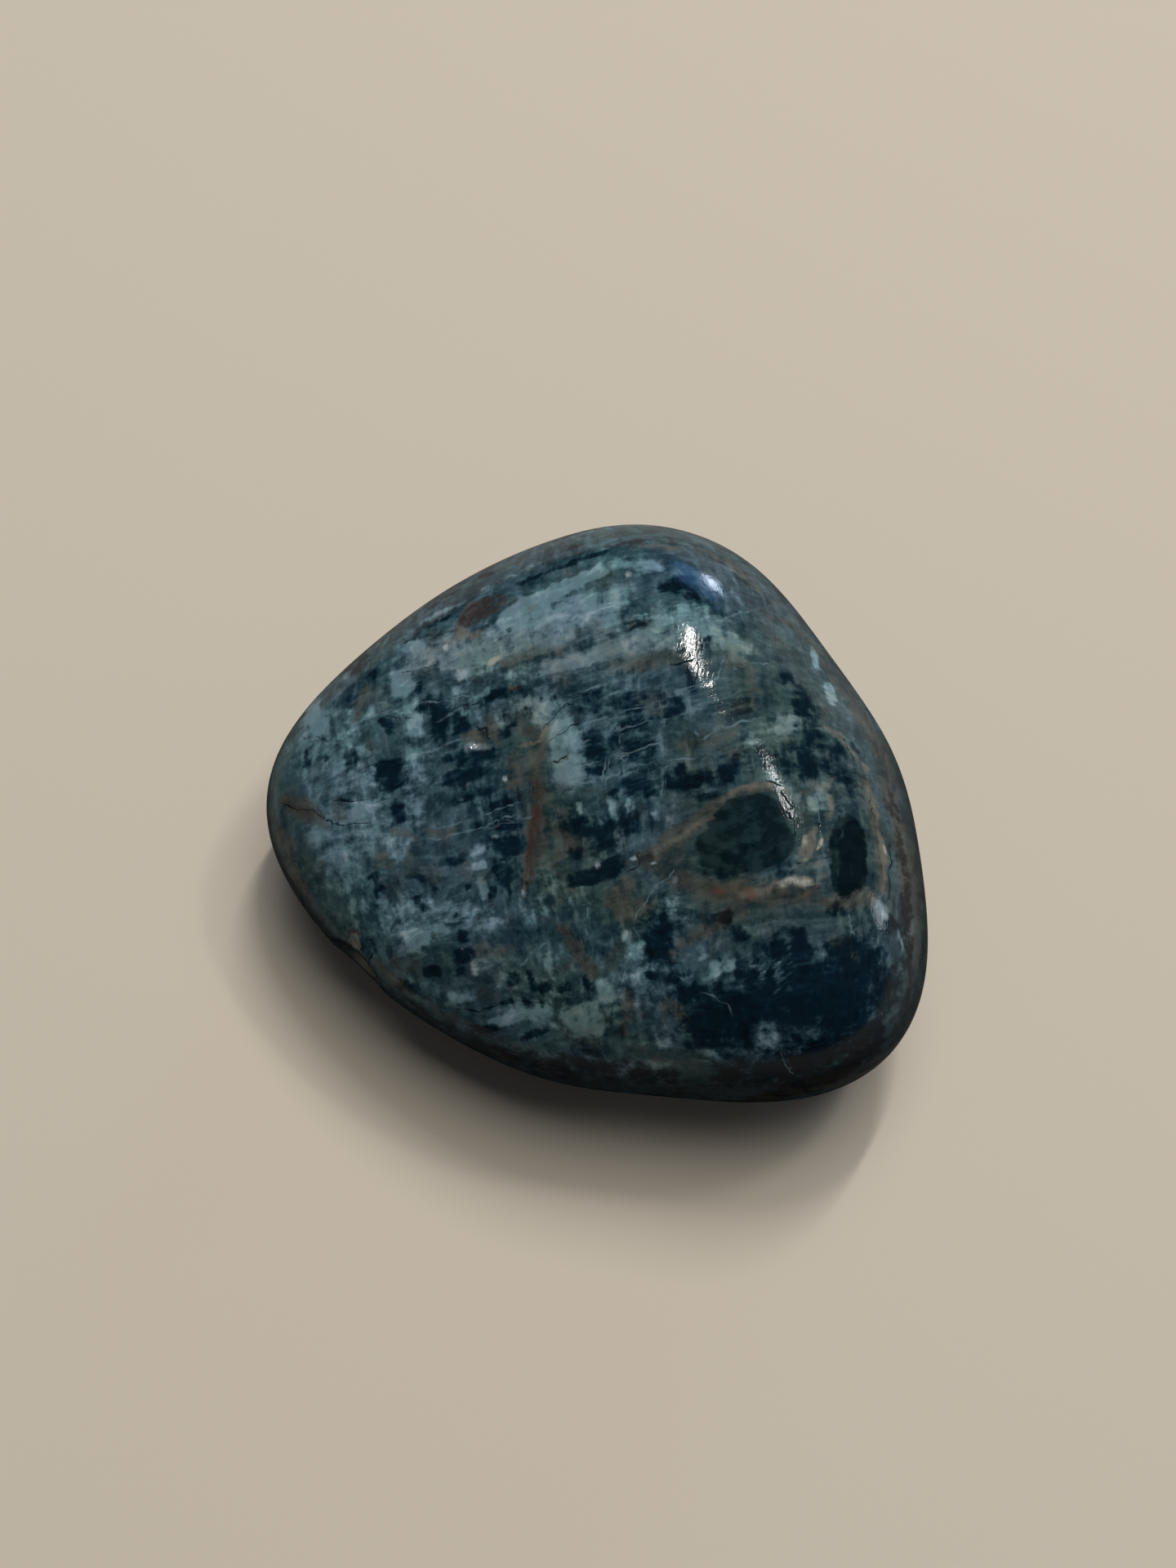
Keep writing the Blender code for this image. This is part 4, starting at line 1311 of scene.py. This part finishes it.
    def build(
        self, stone: bpy.types.Object, cracks: bpy.types.Object, finish: bpy.types.Material
    ) -> bpy.types.Object:
        """Makes the skin as a plain mesh.

        Args:
            stone: the solid that it is wrapped on.
            cracks: the curves that its grooves follow.
            finish: the stone's material.

        Returns:
            The skin's object.
        """
        tree = self.tree()
        grower = bpy.data.objects.new("skin_grower", bpy.data.meshes.new("skin_seed"))
        bpy.context.scene.collection.objects.link(grower)
        modifier = grower.modifiers.new("stone skin", "NODES")
        modifier.node_group = tree
        objects = {"Stone": stone, "Cracks": cracks, "Finish": finish}
        for item in tree.interface.items_tree:
            if item.item_type == "SOCKET" and item.in_out == "INPUT" and item.name in objects:
                modifier[item.identifier] = objects[item.name]
        depsgraph = bpy.context.evaluated_depsgraph_get()
        depsgraph.update()
        mesh = bpy.data.meshes.new_from_object(grower.evaluated_get(depsgraph), depsgraph=depsgraph)
        grower.modifiers.remove(modifier)
        bpy.data.objects.remove(grower)
        mesh.name = "apatite_skin"
        skin = bpy.data.objects.new("apatite_skin", mesh)
        bpy.context.scene.collection.objects.link(skin)
        return skin

    @staticmethod
    def stay_inside(skin: bpy.types.Object, low: Vector, high: Vector) -> None:
        """Keeps the skin inside the solid's box, so that it rests on the floor and no higher.

        Args:
            skin: the skin's object.
            low: the solid's lowest corner.
            high: the solid's highest corner.
        """
        spots = np.clip(mesh_points(skin), np.array(low), np.array(high))
        skin.data.vertices.foreach_set("co", spots.astype(np.float32).ravel())
        skin.data.update()

    @staticmethod
    def steepness(skin: bpy.types.Object) -> np.ndarray:
        """How far each of the skin's points faces away from straight up, from 0 to 1."""
        flat = np.zeros(len(skin.data.vertices) * 3, np.float32)
        skin.data.vertex_normals.foreach_get("vector", flat)
        return 1.0 - np.clip(flat.reshape(-1, 3)[:, 2].astype(float), 0.0, 1.0)

    @staticmethod
    def stain(skin: bpy.types.Object, fields: dict[str, np.ndarray]) -> None:
        """Stores the markings' strengths as the skin's attributes.

        Args:
            skin: the skin's object.
            fields: for each name, one number for each of the skin's points.
        """
        for name, values in fields.items():
            layer = skin.data.attributes.new(name, "FLOAT", "POINT")
            layer.data.foreach_set("value", values.astype(np.float32))


def mesh_points(piece: bpy.types.Object) -> np.ndarray:
    """The places of a piece's mesh points, one to a row, in metres."""
    flat = np.zeros(len(piece.data.vertices) * 3, np.float32)
    piece.data.vertices.foreach_get("co", flat)
    return flat.reshape(-1, 3).astype(float)


class Pattern:
    """The stone's own pattern, which its colours, its coat and its bump all follow.

    Attributes:
        rising_heading, upright_heading: where both cleavages run, in degrees from +X towards +Y.
        dip: degrees that both are turned about X and about Y.
        bends: the waves that bend both: scale, octaves, roughness, and reach in millimetres.
        graph: the material's builder.
        place: where a point lies, in millimetres.
        rising, upright: that place, bent, along the rising cleavage and along the upright one.
        billow, grain: clouds a millimetre or so across, and a finer grain.
        strokes, threads: short streaks along the upright cleavage, and along the rising one.
        fibrous: where the stone is fibrous.
        ragged: what breaks up the stains' edges.
        pale, navy, calm: where the stone is clouded, with painted reflection on its right flank; where it's
            dark, with painted shade along its rims; and where it's a clear dark lens.
        drab, soft, flank: how drab it is, how far its pattern fades, and how steep it is.
        crack, web: the masks of the cracks, one of them a painted shadow in the pit, and of the pale healed
            partings.
        tone: the number that picks the stone's own colour.
    """

    rising_heading = 14.0
    upright_heading = -84.0
    dip = (9.0, -7.0)
    bends = ((0.13, 1.0, 0.4, 1.8), (0.9, 2.0, 0.5, 0.3))

    def __init__(self, graph: Graph) -> None:
        """Works the pattern out.

        Args:
            graph: the material's builder.
        """
        self.graph = graph
        spot = graph.node("ShaderNodeTexCoord").outputs["Object"]
        self.place = graph.scaled(spot, 1.0 / MM)
        bent = self.bent()
        self.rising = self.turned(bent, self.rising_heading)
        self.upright = self.turned(bent, self.upright_heading)
        self.billow = graph.noise(self.stretched(self.rising, 0.7, 1.0), 1.0, 4.0, 0.6)
        self.grain = graph.noise(self.place, 3.4, 3.0, 0.6)
        self.strokes = graph.noise(self.stretched(self.upright, 0.4, 1.5), 1.0, 3.0, 0.5)
        self.threads = graph.noise(self.stretched(self.rising, 0.25, 1.6), 1.0, 3.0, 0.5)
        self.fibrous = self.fibres()
        self.ragged = graph.weighed(
            0.5,
            (
                (self.strokes, 0.5, 0.95),
                (self.threads, 0.5, 0.8),
                (self.billow, 0.5, 1.5),
                (self.grain, 0.5, 0.35),
            ),
        )
        self.pale = self.ragged_edge(Stain.PALE, 0.8)
        self.navy = self.ragged_edge(Stain.NAVY, -0.9)
        self.calm = graph.step(graph.field(Stain.LENS.value), 0.2, 0.75)
        self.drab = graph.field(Stain.DRAB.value)
        self.soft = graph.field(Stain.SOFT.value)
        self.flank = graph.field(Stain.FLANK.value)
        self.crack = self.thread(Stain.CRACK, 1.5)
        cell, seam = self.cells(counts=(0.5, 0.85, 0.85), width=0.16)
        self.web = self.partings(seam)
        self.tone = self.shade(cell)

    def bent(self) -> Socket:
        """The place, bent in wide and in narrow waves."""
        bent = self.place
        for scale, detail, rough, reach in self.bends:
            waves = self.graph.noise(self.place, scale, detail, rough, output="Color")
            sway = self.graph.vector("SUBTRACT", waves, (0.5, 0.5, 0.5))
            bent = self.graph.vector("ADD", bent, self.graph.scaled(sway, reach))
        return bent

    def turned(self, vector: Socket, heading: float) -> Socket:
        """Coordinates turned so that their X runs along a cleavage of that heading."""
        turn = tuple(math.radians(angle) for angle in (*self.dip, -heading))
        return self.graph.node("ShaderNodeMapping", {"Vector": vector, "Rotation": turn}).outputs[0]

    def stretched(self, vector: Socket, along: float, across: float) -> Socket:
        """Coordinates scaled along a cleavage, and alike across it and through the stone."""
        return self.graph.vector("MULTIPLY", vector, (along, across, across))

    def cells(self, counts: Triple, width: float) -> tuple[Socket, Socket]:
        """Cleavage cells: a number for each cell, and the lines between them.

        Args:
            counts: cells to a millimetre along, across and through.
            width: the lines' half width, as a share of a cell.

        Returns:
            The cells' numbers and the lines' mask, two sockets.
        """
        graph = self.graph
        scaled = graph.vector("MULTIPLY", self.rising, counts)
        inputs = {"Vector": scaled, "Scale": 1.0, "Randomness": 0.65}
        faces = graph.node("ShaderNodeTexVoronoi", inputs, feature="F1")
        edges = graph.node("ShaderNodeTexVoronoi", inputs, feature="DISTANCE_TO_EDGE")
        split = graph.node("ShaderNodeSeparateColor", {0: faces.outputs["Color"]})
        reach = graph.times(graph.step(graph.noise(scaled, 1.3, 2.0), 0.35, 0.68), width * 1.4)
        share = graph.math("DIVIDE", edges.outputs["Distance"], graph.math("ADD", reach, 0.01))
        return split.outputs[0], graph.step(share, 1.0, 0.0)

    def contours(
        self, vector: Socket, counts: tuple[float, float], level: float, width: float = 0.055
    ) -> Socket:
        """Long thin lines that follow a cleavage, as pale healed partings do.

        Args:
            vector: coordinates along the cleavage.
            counts: waves to a millimetre along it and across it.
            level: the height of the waves that the lines are drawn at.
            width: the lines' half width, in the same height.

        Returns:
            The lines' mask, a socket.
        """
        waves = self.graph.noise(self.stretched(vector, *counts), 1.0, 1.0, 0.4)
        gap = self.graph.math("ABSOLUTE", self.graph.math("SUBTRACT", waves, level))
        return self.graph.step(gap, width, 0.2 * width)

    def thread(self, stain: Stain, reach: float) -> Socket:
        """A fine line's mask.

        Args:
            stain: which of the THREADS.
            reach: where its soft edge ends, in the line's half widths.

        Returns:
            The mask's socket.
        """
        side = self.graph.math("ABSOLUTE", self.graph.field(stain.value + "_side"))
        close = self.graph.step(self.graph.field(stain.value), 0.15, 0.45)
        return self.graph.times(self.graph.step(side, reach, 0.1 * reach), close)

    def ragged_edge(self, stain: Stain, amount: float) -> Socket:
        """A stain's mask with its edge broken up by the stone's own grain.

        Args:
            stain: which stain.
            amount: how far the grain moves the edge.

        Returns:
            The mask's socket.
        """
        strength = self.graph.field(stain.value)
        moved = self.graph.line(self.graph.math("SUBTRACT", self.ragged, 0.5), amount, strength)
        return self.graph.times(self.graph.step(moved, 0.12, 0.88), self.graph.step(strength, 0.02, 0.3))

    def fibres(self) -> Socket:
        """Where the stone is fibrous: in the drawn fields, and here and there besides."""
        wild = self.graph.step(self.graph.noise(self.place, 0.09, 1.0), 0.5, 0.62)
        return self.graph.highest(self.graph.field(Stain.FIBRE.value), self.graph.times(wild, 0.8))

    def partings(self, seam: Socket) -> Socket:
        """The web of pale healed partings, thinner where the stone is calm, fibrous, drab or steep.

        Args:
            seam: the lines between the cleavage cells.

        Returns:
            The web's mask.
        """
        graph = self.graph
        web = self.contours(self.rising, (0.05, 0.6), 0.5)
        others = (
            (self.contours(self.rising, (0.08, 0.95), 0.46), 0.7),
            (self.contours(self.upright, (0.09, 0.62), 0.52, width=0.05), 0.7),
            (seam, 0.25),
        )
        for lines, strength in others:
            web = graph.highest(web, graph.times(lines, strength))
        veiled = graph.step(graph.noise(self.rising, 0.7, 3.0, 0.6), 0.36, 0.6)
        clear = graph.math("SUBTRACT", 1.0, graph.times(self.fibrous, 0.6))
        quiet = graph.highest(self.calm, graph.times(self.drab, 0.6))
        thinners = (
            graph.times(veiled, clear),
            graph.line(quiet, -0.8, 1.0),
            graph.step(self.flank, 0.15, 0.6, 1.0, 0.25),
            graph.line(self.soft, -0.7, 1.0),
        )
        for share in thinners:
            web = graph.times(web, share)
        return web

    def shade(self, cell: Socket) -> Socket:
        """How pale the stone is: its fine pattern, then its clouds, its dark fields and its web.

        Args:
            cell: the cleavage cells' numbers.

        Returns:
            The tone's socket, from 0 for the darkest to 1 for the palest.
        """
        graph = self.graph
        cloud = graph.noise(self.stretched(self.rising, 0.6, 1.0), 0.36, 4.0, 0.55)
        pale_dashes = graph.step(self.strokes, 0.52, 0.66)
        dark_dashes = graph.step(self.strokes, 0.44, 0.3)
        dashes = graph.times(graph.math("SUBTRACT", pale_dashes, dark_dashes), self.fibrous)
        texture = graph.weighed(
            0.0,
            (
                (cloud, 0.5, 0.6),
                (self.billow, 0.5, 0.55),
                (self.grain, 0.5, 0.22),
                (cell, 0.5, 0.07),
                (self.threads, 0.5, 0.28),
                (self.strokes, 0.5, 0.25),
                (dashes, 0.0, 0.15),
            ),
        )
        settled = graph.line(graph.highest(self.pale, self.navy), -0.5, 0.9)
        settled = graph.times(settled, graph.line(self.soft, -0.5, 1.0))
        tone = graph.line(texture, settled, 0.465)
        tone = graph.line(self.pale, 0.31, tone)
        tone = graph.line(self.navy, -0.34, tone)
        return graph.line(self.web, graph.line(self.navy, 0.12, 0.14), tone)


@dataclass(frozen=True)
class ApatiteFinish:
    """Polished apatite: dark cleavage blocks under a pale web, with fibres, clouds and warm veins.

    Attributes:
        night, navy, teal, slate, mist, frost: the stone's own colours, from dark to pale.
        green_cast, blue_cast: what tints the stone, here one and there the other.
        lens, lens_light, abyss: a clear dark lens, and its paler and darker parts.
        smoke, earth: the brown veil, where the stone is pale and where it's dark.
        bark, tan, rust, cream: the stains.
        ember: the warm threads.
        dusk, drab: painted shade that darkens the steep flank, and what tints the drab fields, which along
            the right flank is a painted warm reflection.
        roughness, roughness_spread: how rough the stone is under its coat, and how far that changes.
        undercoat_shine: how much the stone shines under its coat.
        coat_roughness: how rough the polish is.
        bump_height: how deep the polish's fine marks look, in metres.
    """

    night: Colour = rgb(4, 17, 26)
    navy: Colour = rgb(12, 36, 49)
    teal: Colour = rgb(40, 63, 72)
    slate: Colour = rgb(72, 95, 104)
    mist: Colour = rgb(112, 137, 148)
    frost: Colour = rgb(168, 183, 190)
    green_cast: Colour = rgb(238, 255, 250)
    blue_cast: Colour = rgb(244, 250, 255)
    lens: Colour = rgb(7, 25, 31)
    lens_light: Colour = rgb(25, 48, 56)
    abyss: Colour = rgb(3, 16, 25)
    smoke: Colour = rgb(80, 81, 74)
    earth: Colour = rgb(35, 32, 28)
    bark: Colour = rgb(55, 44, 42)
    tan: Colour = rgb(113, 109, 99)
    rust: Colour = rgb(98, 70, 56)
    cream: Colour = rgb(166, 168, 158)
    ember: Colour = rgb(68, 44, 37)
    dusk: Colour = rgb(97, 118, 130)
    drab: Colour = rgb(255, 233, 214)
    roughness: float = 0.42
    roughness_spread: float = 0.24
    undercoat_shine: float = 0.0
    coat_roughness: float = 0.09
    bump_height: float = 0.03 * MM

    def material(self) -> bpy.types.Material:
        """Builds the stone's material.

        Returns:
            The material, with its colour, roughness, coat and bump from nodes.
        """
        made = bpy.data.materials.new("polished apatite")
        made.use_nodes = True
        made.node_tree.nodes.clear()
        graph = Graph(made.node_tree)
        pattern = Pattern(graph)
        base = self.stone(pattern)
        base = self.stained(pattern, base)
        base = self.lined(pattern, base)
        shader = self.polished(pattern, base)
        graph.node("ShaderNodeOutputMaterial", {"Surface": shader})
        return made

    def stone(self, pattern: Pattern) -> Socket:
        """The stone's own colour, with its cast, its clear lenses and its drab fields, one of which is a
        painted warm reflection on the right flank.

        Args:
            pattern: the stone's pattern.

        Returns:
            The colour's socket.
        """
        graph = pattern.graph
        base = self.ladder(graph, pattern.tone)
        hue = graph.step(graph.noise(pattern.place, 0.15, 2.0), 0.4, 0.6)
        base = graph.mix(1.0, base, graph.mix(hue, self.green_cast, self.blue_cast), "MULTIPLY")
        lens = graph.mix(graph.step(pattern.billow, 0.4, 0.62), self.lens, self.lens_light)
        lens = graph.cover(lens, self.abyss, pattern.navy, 0.75)
        base = graph.cover(base, lens, pattern.calm, 0.92)
        # Drab fields; along the right flank this is a painted warm reflection.
        drab = graph.times(pattern.drab, graph.step(pattern.billow, 0.3, 0.6, 0.6, 1.0))
        return graph.tinted(base, self.drab, drab)

    def ladder(self, graph: Graph, tone: Socket) -> Socket:
        """The stone's own colours from dark to pale.

        Args:
            graph: the material's builder.
            tone: the number that picks the colour.

        Returns:
            The colour's socket.
        """
        made = graph.node("ShaderNodeValToRGB", {0: tone})
        ramp = made.color_ramp
        ramp.interpolation = "LINEAR"
        steps = (
            (0.04, self.night),
            (0.24, self.navy),
            (0.42, self.teal),
            (0.60, self.slate),
            (0.80, self.mist),
            (1.0, self.frost),
        )
        ramp.elements[0].position, ramp.elements[0].color = steps[0]
        ramp.elements[1].position, ramp.elements[1].color = steps[-1]
        for position, colour in steps[1:-1]:
            ramp.elements.new(position).color = colour
        return made.outputs[0]

    def stained(self, pattern: Pattern, base: Socket) -> Socket:
        """The brown veil and the stains, laid over the stone's own colour, with painted reflections and
        painted light among them.

        Args:
            pattern: the stone's pattern.
            base: the colour below.

        Returns:
            The colour's socket.
        """
        graph = pattern.graph
        veil = graph.step(graph.noise(pattern.place, 0.33, 4.0, 0.6), 0.52, 0.7)
        veil = graph.times(veil, graph.line(pattern.navy, -0.42, 0.5))
        # Smoke marks along the right and far rims are painted warm reflections and painted shade.
        smoke = graph.highest(pattern.ragged_edge(Stain.SMOKE, 0.7), veil)
        smoke = graph.times(smoke, graph.line(pattern.calm, -0.85, 1.0))
        brown = graph.mix(graph.step(pattern.tone, 0.2, 0.65), self.earth, self.smoke)
        base = graph.cover(base, brown, smoke, 0.72)
        flecks = graph.noise(pattern.stretched(pattern.upright, 0.7, 1.4), 1.6, 4.0, 0.65)
        mottle = graph.step(flecks, 0.34, 0.56, 0.35, 1.0)
        stains = (
            (Stain.BARK, 0.6, 0.85, self.bark),
            (Stain.TAN, 0.55, 0.75, self.tan),
            (Stain.RUST, 0.6, 0.6, self.rust),
            (Stain.CREAM, 0.35, 0.85, self.cream),
            (Stain.FROST, 0.35, 0.8, self.frost),
        )
        # Frost marks on the pit's lower wall and lip and on the right flank are painted light and painted
        # highlights.
        for stain, raggedness, thickness, colour in stains:
            mask = pattern.ragged_edge(stain, raggedness)
            base = graph.cover(base, colour, mask, graph.times(mottle, thickness))
        return base

    def lined(self, pattern: Pattern, base: Socket) -> Socket:
        """The flank's painted shade, and the fine lines that cross the stone.

        Args:
            pattern: the stone's pattern.
            base: the colour below.

        Returns:
            The colour's socket.
        """
        graph = pattern.graph
        # Painted shade: the steeper the skin, the more its colour is tinted darker with dusk.
        base = graph.tinted(base, self.dusk, graph.step(pattern.flank, 0.25, 0.8))
        faint = graph.step(graph.noise(pattern.place, 0.8, 2.0), 0.35, 0.6, 0.1, 0.6)
        base = graph.cover(base, self.mist, pattern.thread(Stain.HAIR, 2.6), faint)
        base = graph.cover(base, self.ember, pattern.thread(Stain.VEIN, 2.2), 0.65)
        # The cracks' dark lines; the one in the pit is a painted shadow.
        return graph.cover(base, self.night, pattern.crack, 0.9)

    def polished(self, pattern: Pattern, base: Socket) -> Socket:
        """The surface: the stone, and the polish that coats it.

        Args:
            pattern: the stone's pattern.
            base: the stone's colour.

        Returns:
            The shader's socket.
        """
        graph = pattern.graph
        dull = graph.noise(pattern.place, 1.1, 4.0, 0.6)
        rough = graph.line(dull, self.roughness_spread, self.roughness - self.roughness_spread / 2)
        rough = graph.line(pattern.crack, 0.3, rough)
        coat = graph.line(pattern.web, -0.25, 0.6)
        coat = graph.line(graph.step(pattern.flank, 0.2, 0.65), -0.5, coat)
        coat = graph.line(pattern.crack, -0.6, coat, clamp=True)
        nap = graph.noise(pattern.stretched(pattern.upright, 1.1, 5.0), 1.0, 2.0, 0.6)
        worn = graph.line(pattern.grain, 0.35, graph.times(pattern.crack, -0.8))
        worn = graph.line(nap, 0.6, graph.line(pattern.web, -0.15, worn))
        marks = {"Height": worn, "Strength": 0.5, "Distance": self.bump_height}
        normal = graph.node("ShaderNodeBump", marks).outputs["Normal"]
        shader = graph.node(
            "ShaderNodeBsdfPrincipled",
            {
                "Base Color": base,
                "Roughness": rough,
                "Specular IOR Level": self.undercoat_shine,
                "Coat Weight": coat,
                "Coat Roughness": self.coat_roughness,
                "Coat Normal": normal,
                "Normal": normal,
            },
        )
        return shader.outputs[0]


@dataclass(frozen=True)
class Lamp:
    """One rectangular lamp that faces the stone.

    Attributes:
        heading, height: where it hangs, in degrees from +X towards +Y and over the floor.
        distance: metres from the stone's middle.
        size, power: its width and height, in metres, and its power, in watts.
        twist: degrees that it's turned about its own axis.
        mirrored: whether it shows in the polish.
    """

    name: str
    heading: float
    height: float
    distance: float
    size: tuple[float, float]
    power: float
    colour: Triple
    twist: float = 0.0
    mirrored: bool = True

    def hang(self) -> None:
        """Makes the lamp and hangs it in its place."""
        data = bpy.data.lights.new(self.name, "AREA")
        data.shape = "RECTANGLE"
        data.size, data.size_y = self.size
        data.energy = self.power
        data.color = self.colour
        lamp = bpy.data.objects.new(self.name, data)
        around, over = math.radians(self.heading), math.radians(self.height)
        level = math.cos(over)
        outward = Vector((level * math.cos(around), level * math.sin(around), math.sin(over)))
        lamp.location = outward * self.distance + Vector(MIDDLE)
        twist = Quaternion((0.0, 0.0, 1.0), math.radians(self.twist))
        lamp.rotation_euler = (outward.to_track_quat("Z", "Y") @ twist).to_euler()
        lamp.visible_glossy = self.mirrored
        bpy.context.scene.collection.objects.link(lamp)


WARM = (1.0, 0.98, 0.95)
LAMPS = (
    Lamp("key", 70.4, 53.4, 1.1, size=(0.36, 0.03), power=3.8, colour=WARM, twist=76.0),
    Lamp("second key", 39.4, 52.9, 1.1, size=(0.13, 0.05), power=1.05, colour=WARM, twist=-11.5),
    Lamp("window", 61.8, 4.6, 1.2, size=(0.1, 0.14), power=1.1, colour=(0.72, 0.84, 1.0), twist=32.0),
    Lamp("window glow", 67.0, 11.0, 1.2, size=(0.36, 0.32), power=1.1, colour=(0.2, 0.46, 1.0)),
    Lamp("low window", 10.0, 8.0, 1.2, size=(0.16, 0.16), power=0.5, colour=(0.85, 0.92, 1.0)),
    Lamp("fill", 60.0, 68.0, 1.6, size=(1.2, 1.2), power=14.3, colour=(1.0, 0.99, 0.97), mirrored=False),
)


@dataclass(frozen=True)
class Studio:
    """The plain pale floor and the soft lights.

    Attributes:
        floor_size, floor_colour, floor_roughness: the floor's side, in metres, and its look.
        sky_colour, sky_strength: the room's own light.
    """

    floor_size: float = 12.0
    floor_colour: Colour = rgb(214, 203, 186)
    floor_roughness: float = 0.85
    sky_colour: Colour = rgb(226, 232, 240)
    sky_strength: float = 0.06

    def build(self) -> None:
        """Makes the floor, the room's light and the lamps."""
        self.floor()
        self.room()
        for lamp in LAMPS:
            lamp.hang()
        log.info("studio: floor and %d lamps", len(LAMPS))

    def room(self) -> None:
        """Makes the room's own light, and shows colours plainly."""
        world = bpy.data.worlds.new("studio")
        world.use_nodes = True
        background = world.node_tree.nodes["Background"]
        background.inputs["Color"].default_value = self.sky_colour
        background.inputs["Strength"].default_value = self.sky_strength
        bpy.context.scene.world = world
        bpy.context.scene.view_settings.view_transform = "Standard"
        bpy.context.scene.view_settings.look = "None"

    def floor(self) -> None:
        """Makes the floor."""
        mesh = bpy.data.meshes.new("floor")
        half = self.floor_size / 2
        corners = [(-half, -half, 0.0), (half, -half, 0.0), (half, half, 0.0), (-half, half, 0.0)]
        mesh.from_pydata(corners, [], [(0, 1, 2, 3)])
        floor = bpy.data.objects.new("floor", mesh)
        bpy.context.scene.collection.objects.link(floor)
        made = bpy.data.materials.new("plain floor")
        made.use_nodes = True
        shader = made.node_tree.nodes["Principled BSDF"]
        shader.inputs["Base Color"].default_value = self.floor_colour
        shader.inputs["Roughness"].default_value = self.floor_roughness
        mesh.materials.append(made)


@dataclass(frozen=True)
class Pebble:
    """The pebble as a whole: its markings, given in a view's frame, its finish and its skin."""

    view: Viewpoint
    finish: ApatiteFinish
    skin: Skin

    def build(self, stone: bpy.types.Object) -> bpy.types.Object:
        """Builds the skin over the solid and dresses it.

        Args:
            stone: the solid.

        Returns:
            The skin's object, riding on the body.
        """
        low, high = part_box(NODE)
        markings = Markings(stone, self.view, drawn_marks())
        log.info("markings: %d laid on the stone", len(markings.placed))
        cracks = markings.crack_lines()
        skin = self.skin.build(stone, cracks, self.finish.material())
        bpy.data.objects.remove(cracks)
        Skin.stay_inside(skin, low, high)
        fields = markings.measure(mesh_points(skin))
        # The steepness, which the finish turns into painted shade on the flank.
        fields[Stain.FLANK.value] = Skin.steepness(skin)
        Skin.stain(skin, fields)
        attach(skin, BODY)
        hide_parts(NODE)
        log.info("skin: %d points, %d faces", len(skin.data.vertices), len(skin.data.polygons))
        return skin


def main() -> None:
    """Builds the scene in order: the view, the pebble, the studio."""
    logging.basicConfig(level=logging.INFO, format="%(name)s: %(message)s")
    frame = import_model()
    view = Viewpoint()
    view.make_camera()
    log.info("view: %.0f degrees over the floor", view.elevation_deg)
    Pebble(view, ApatiteFinish(), Skin()).build(frame["nodes"][NODE])
    Studio().build()


if __name__ == "__main__":
    main()
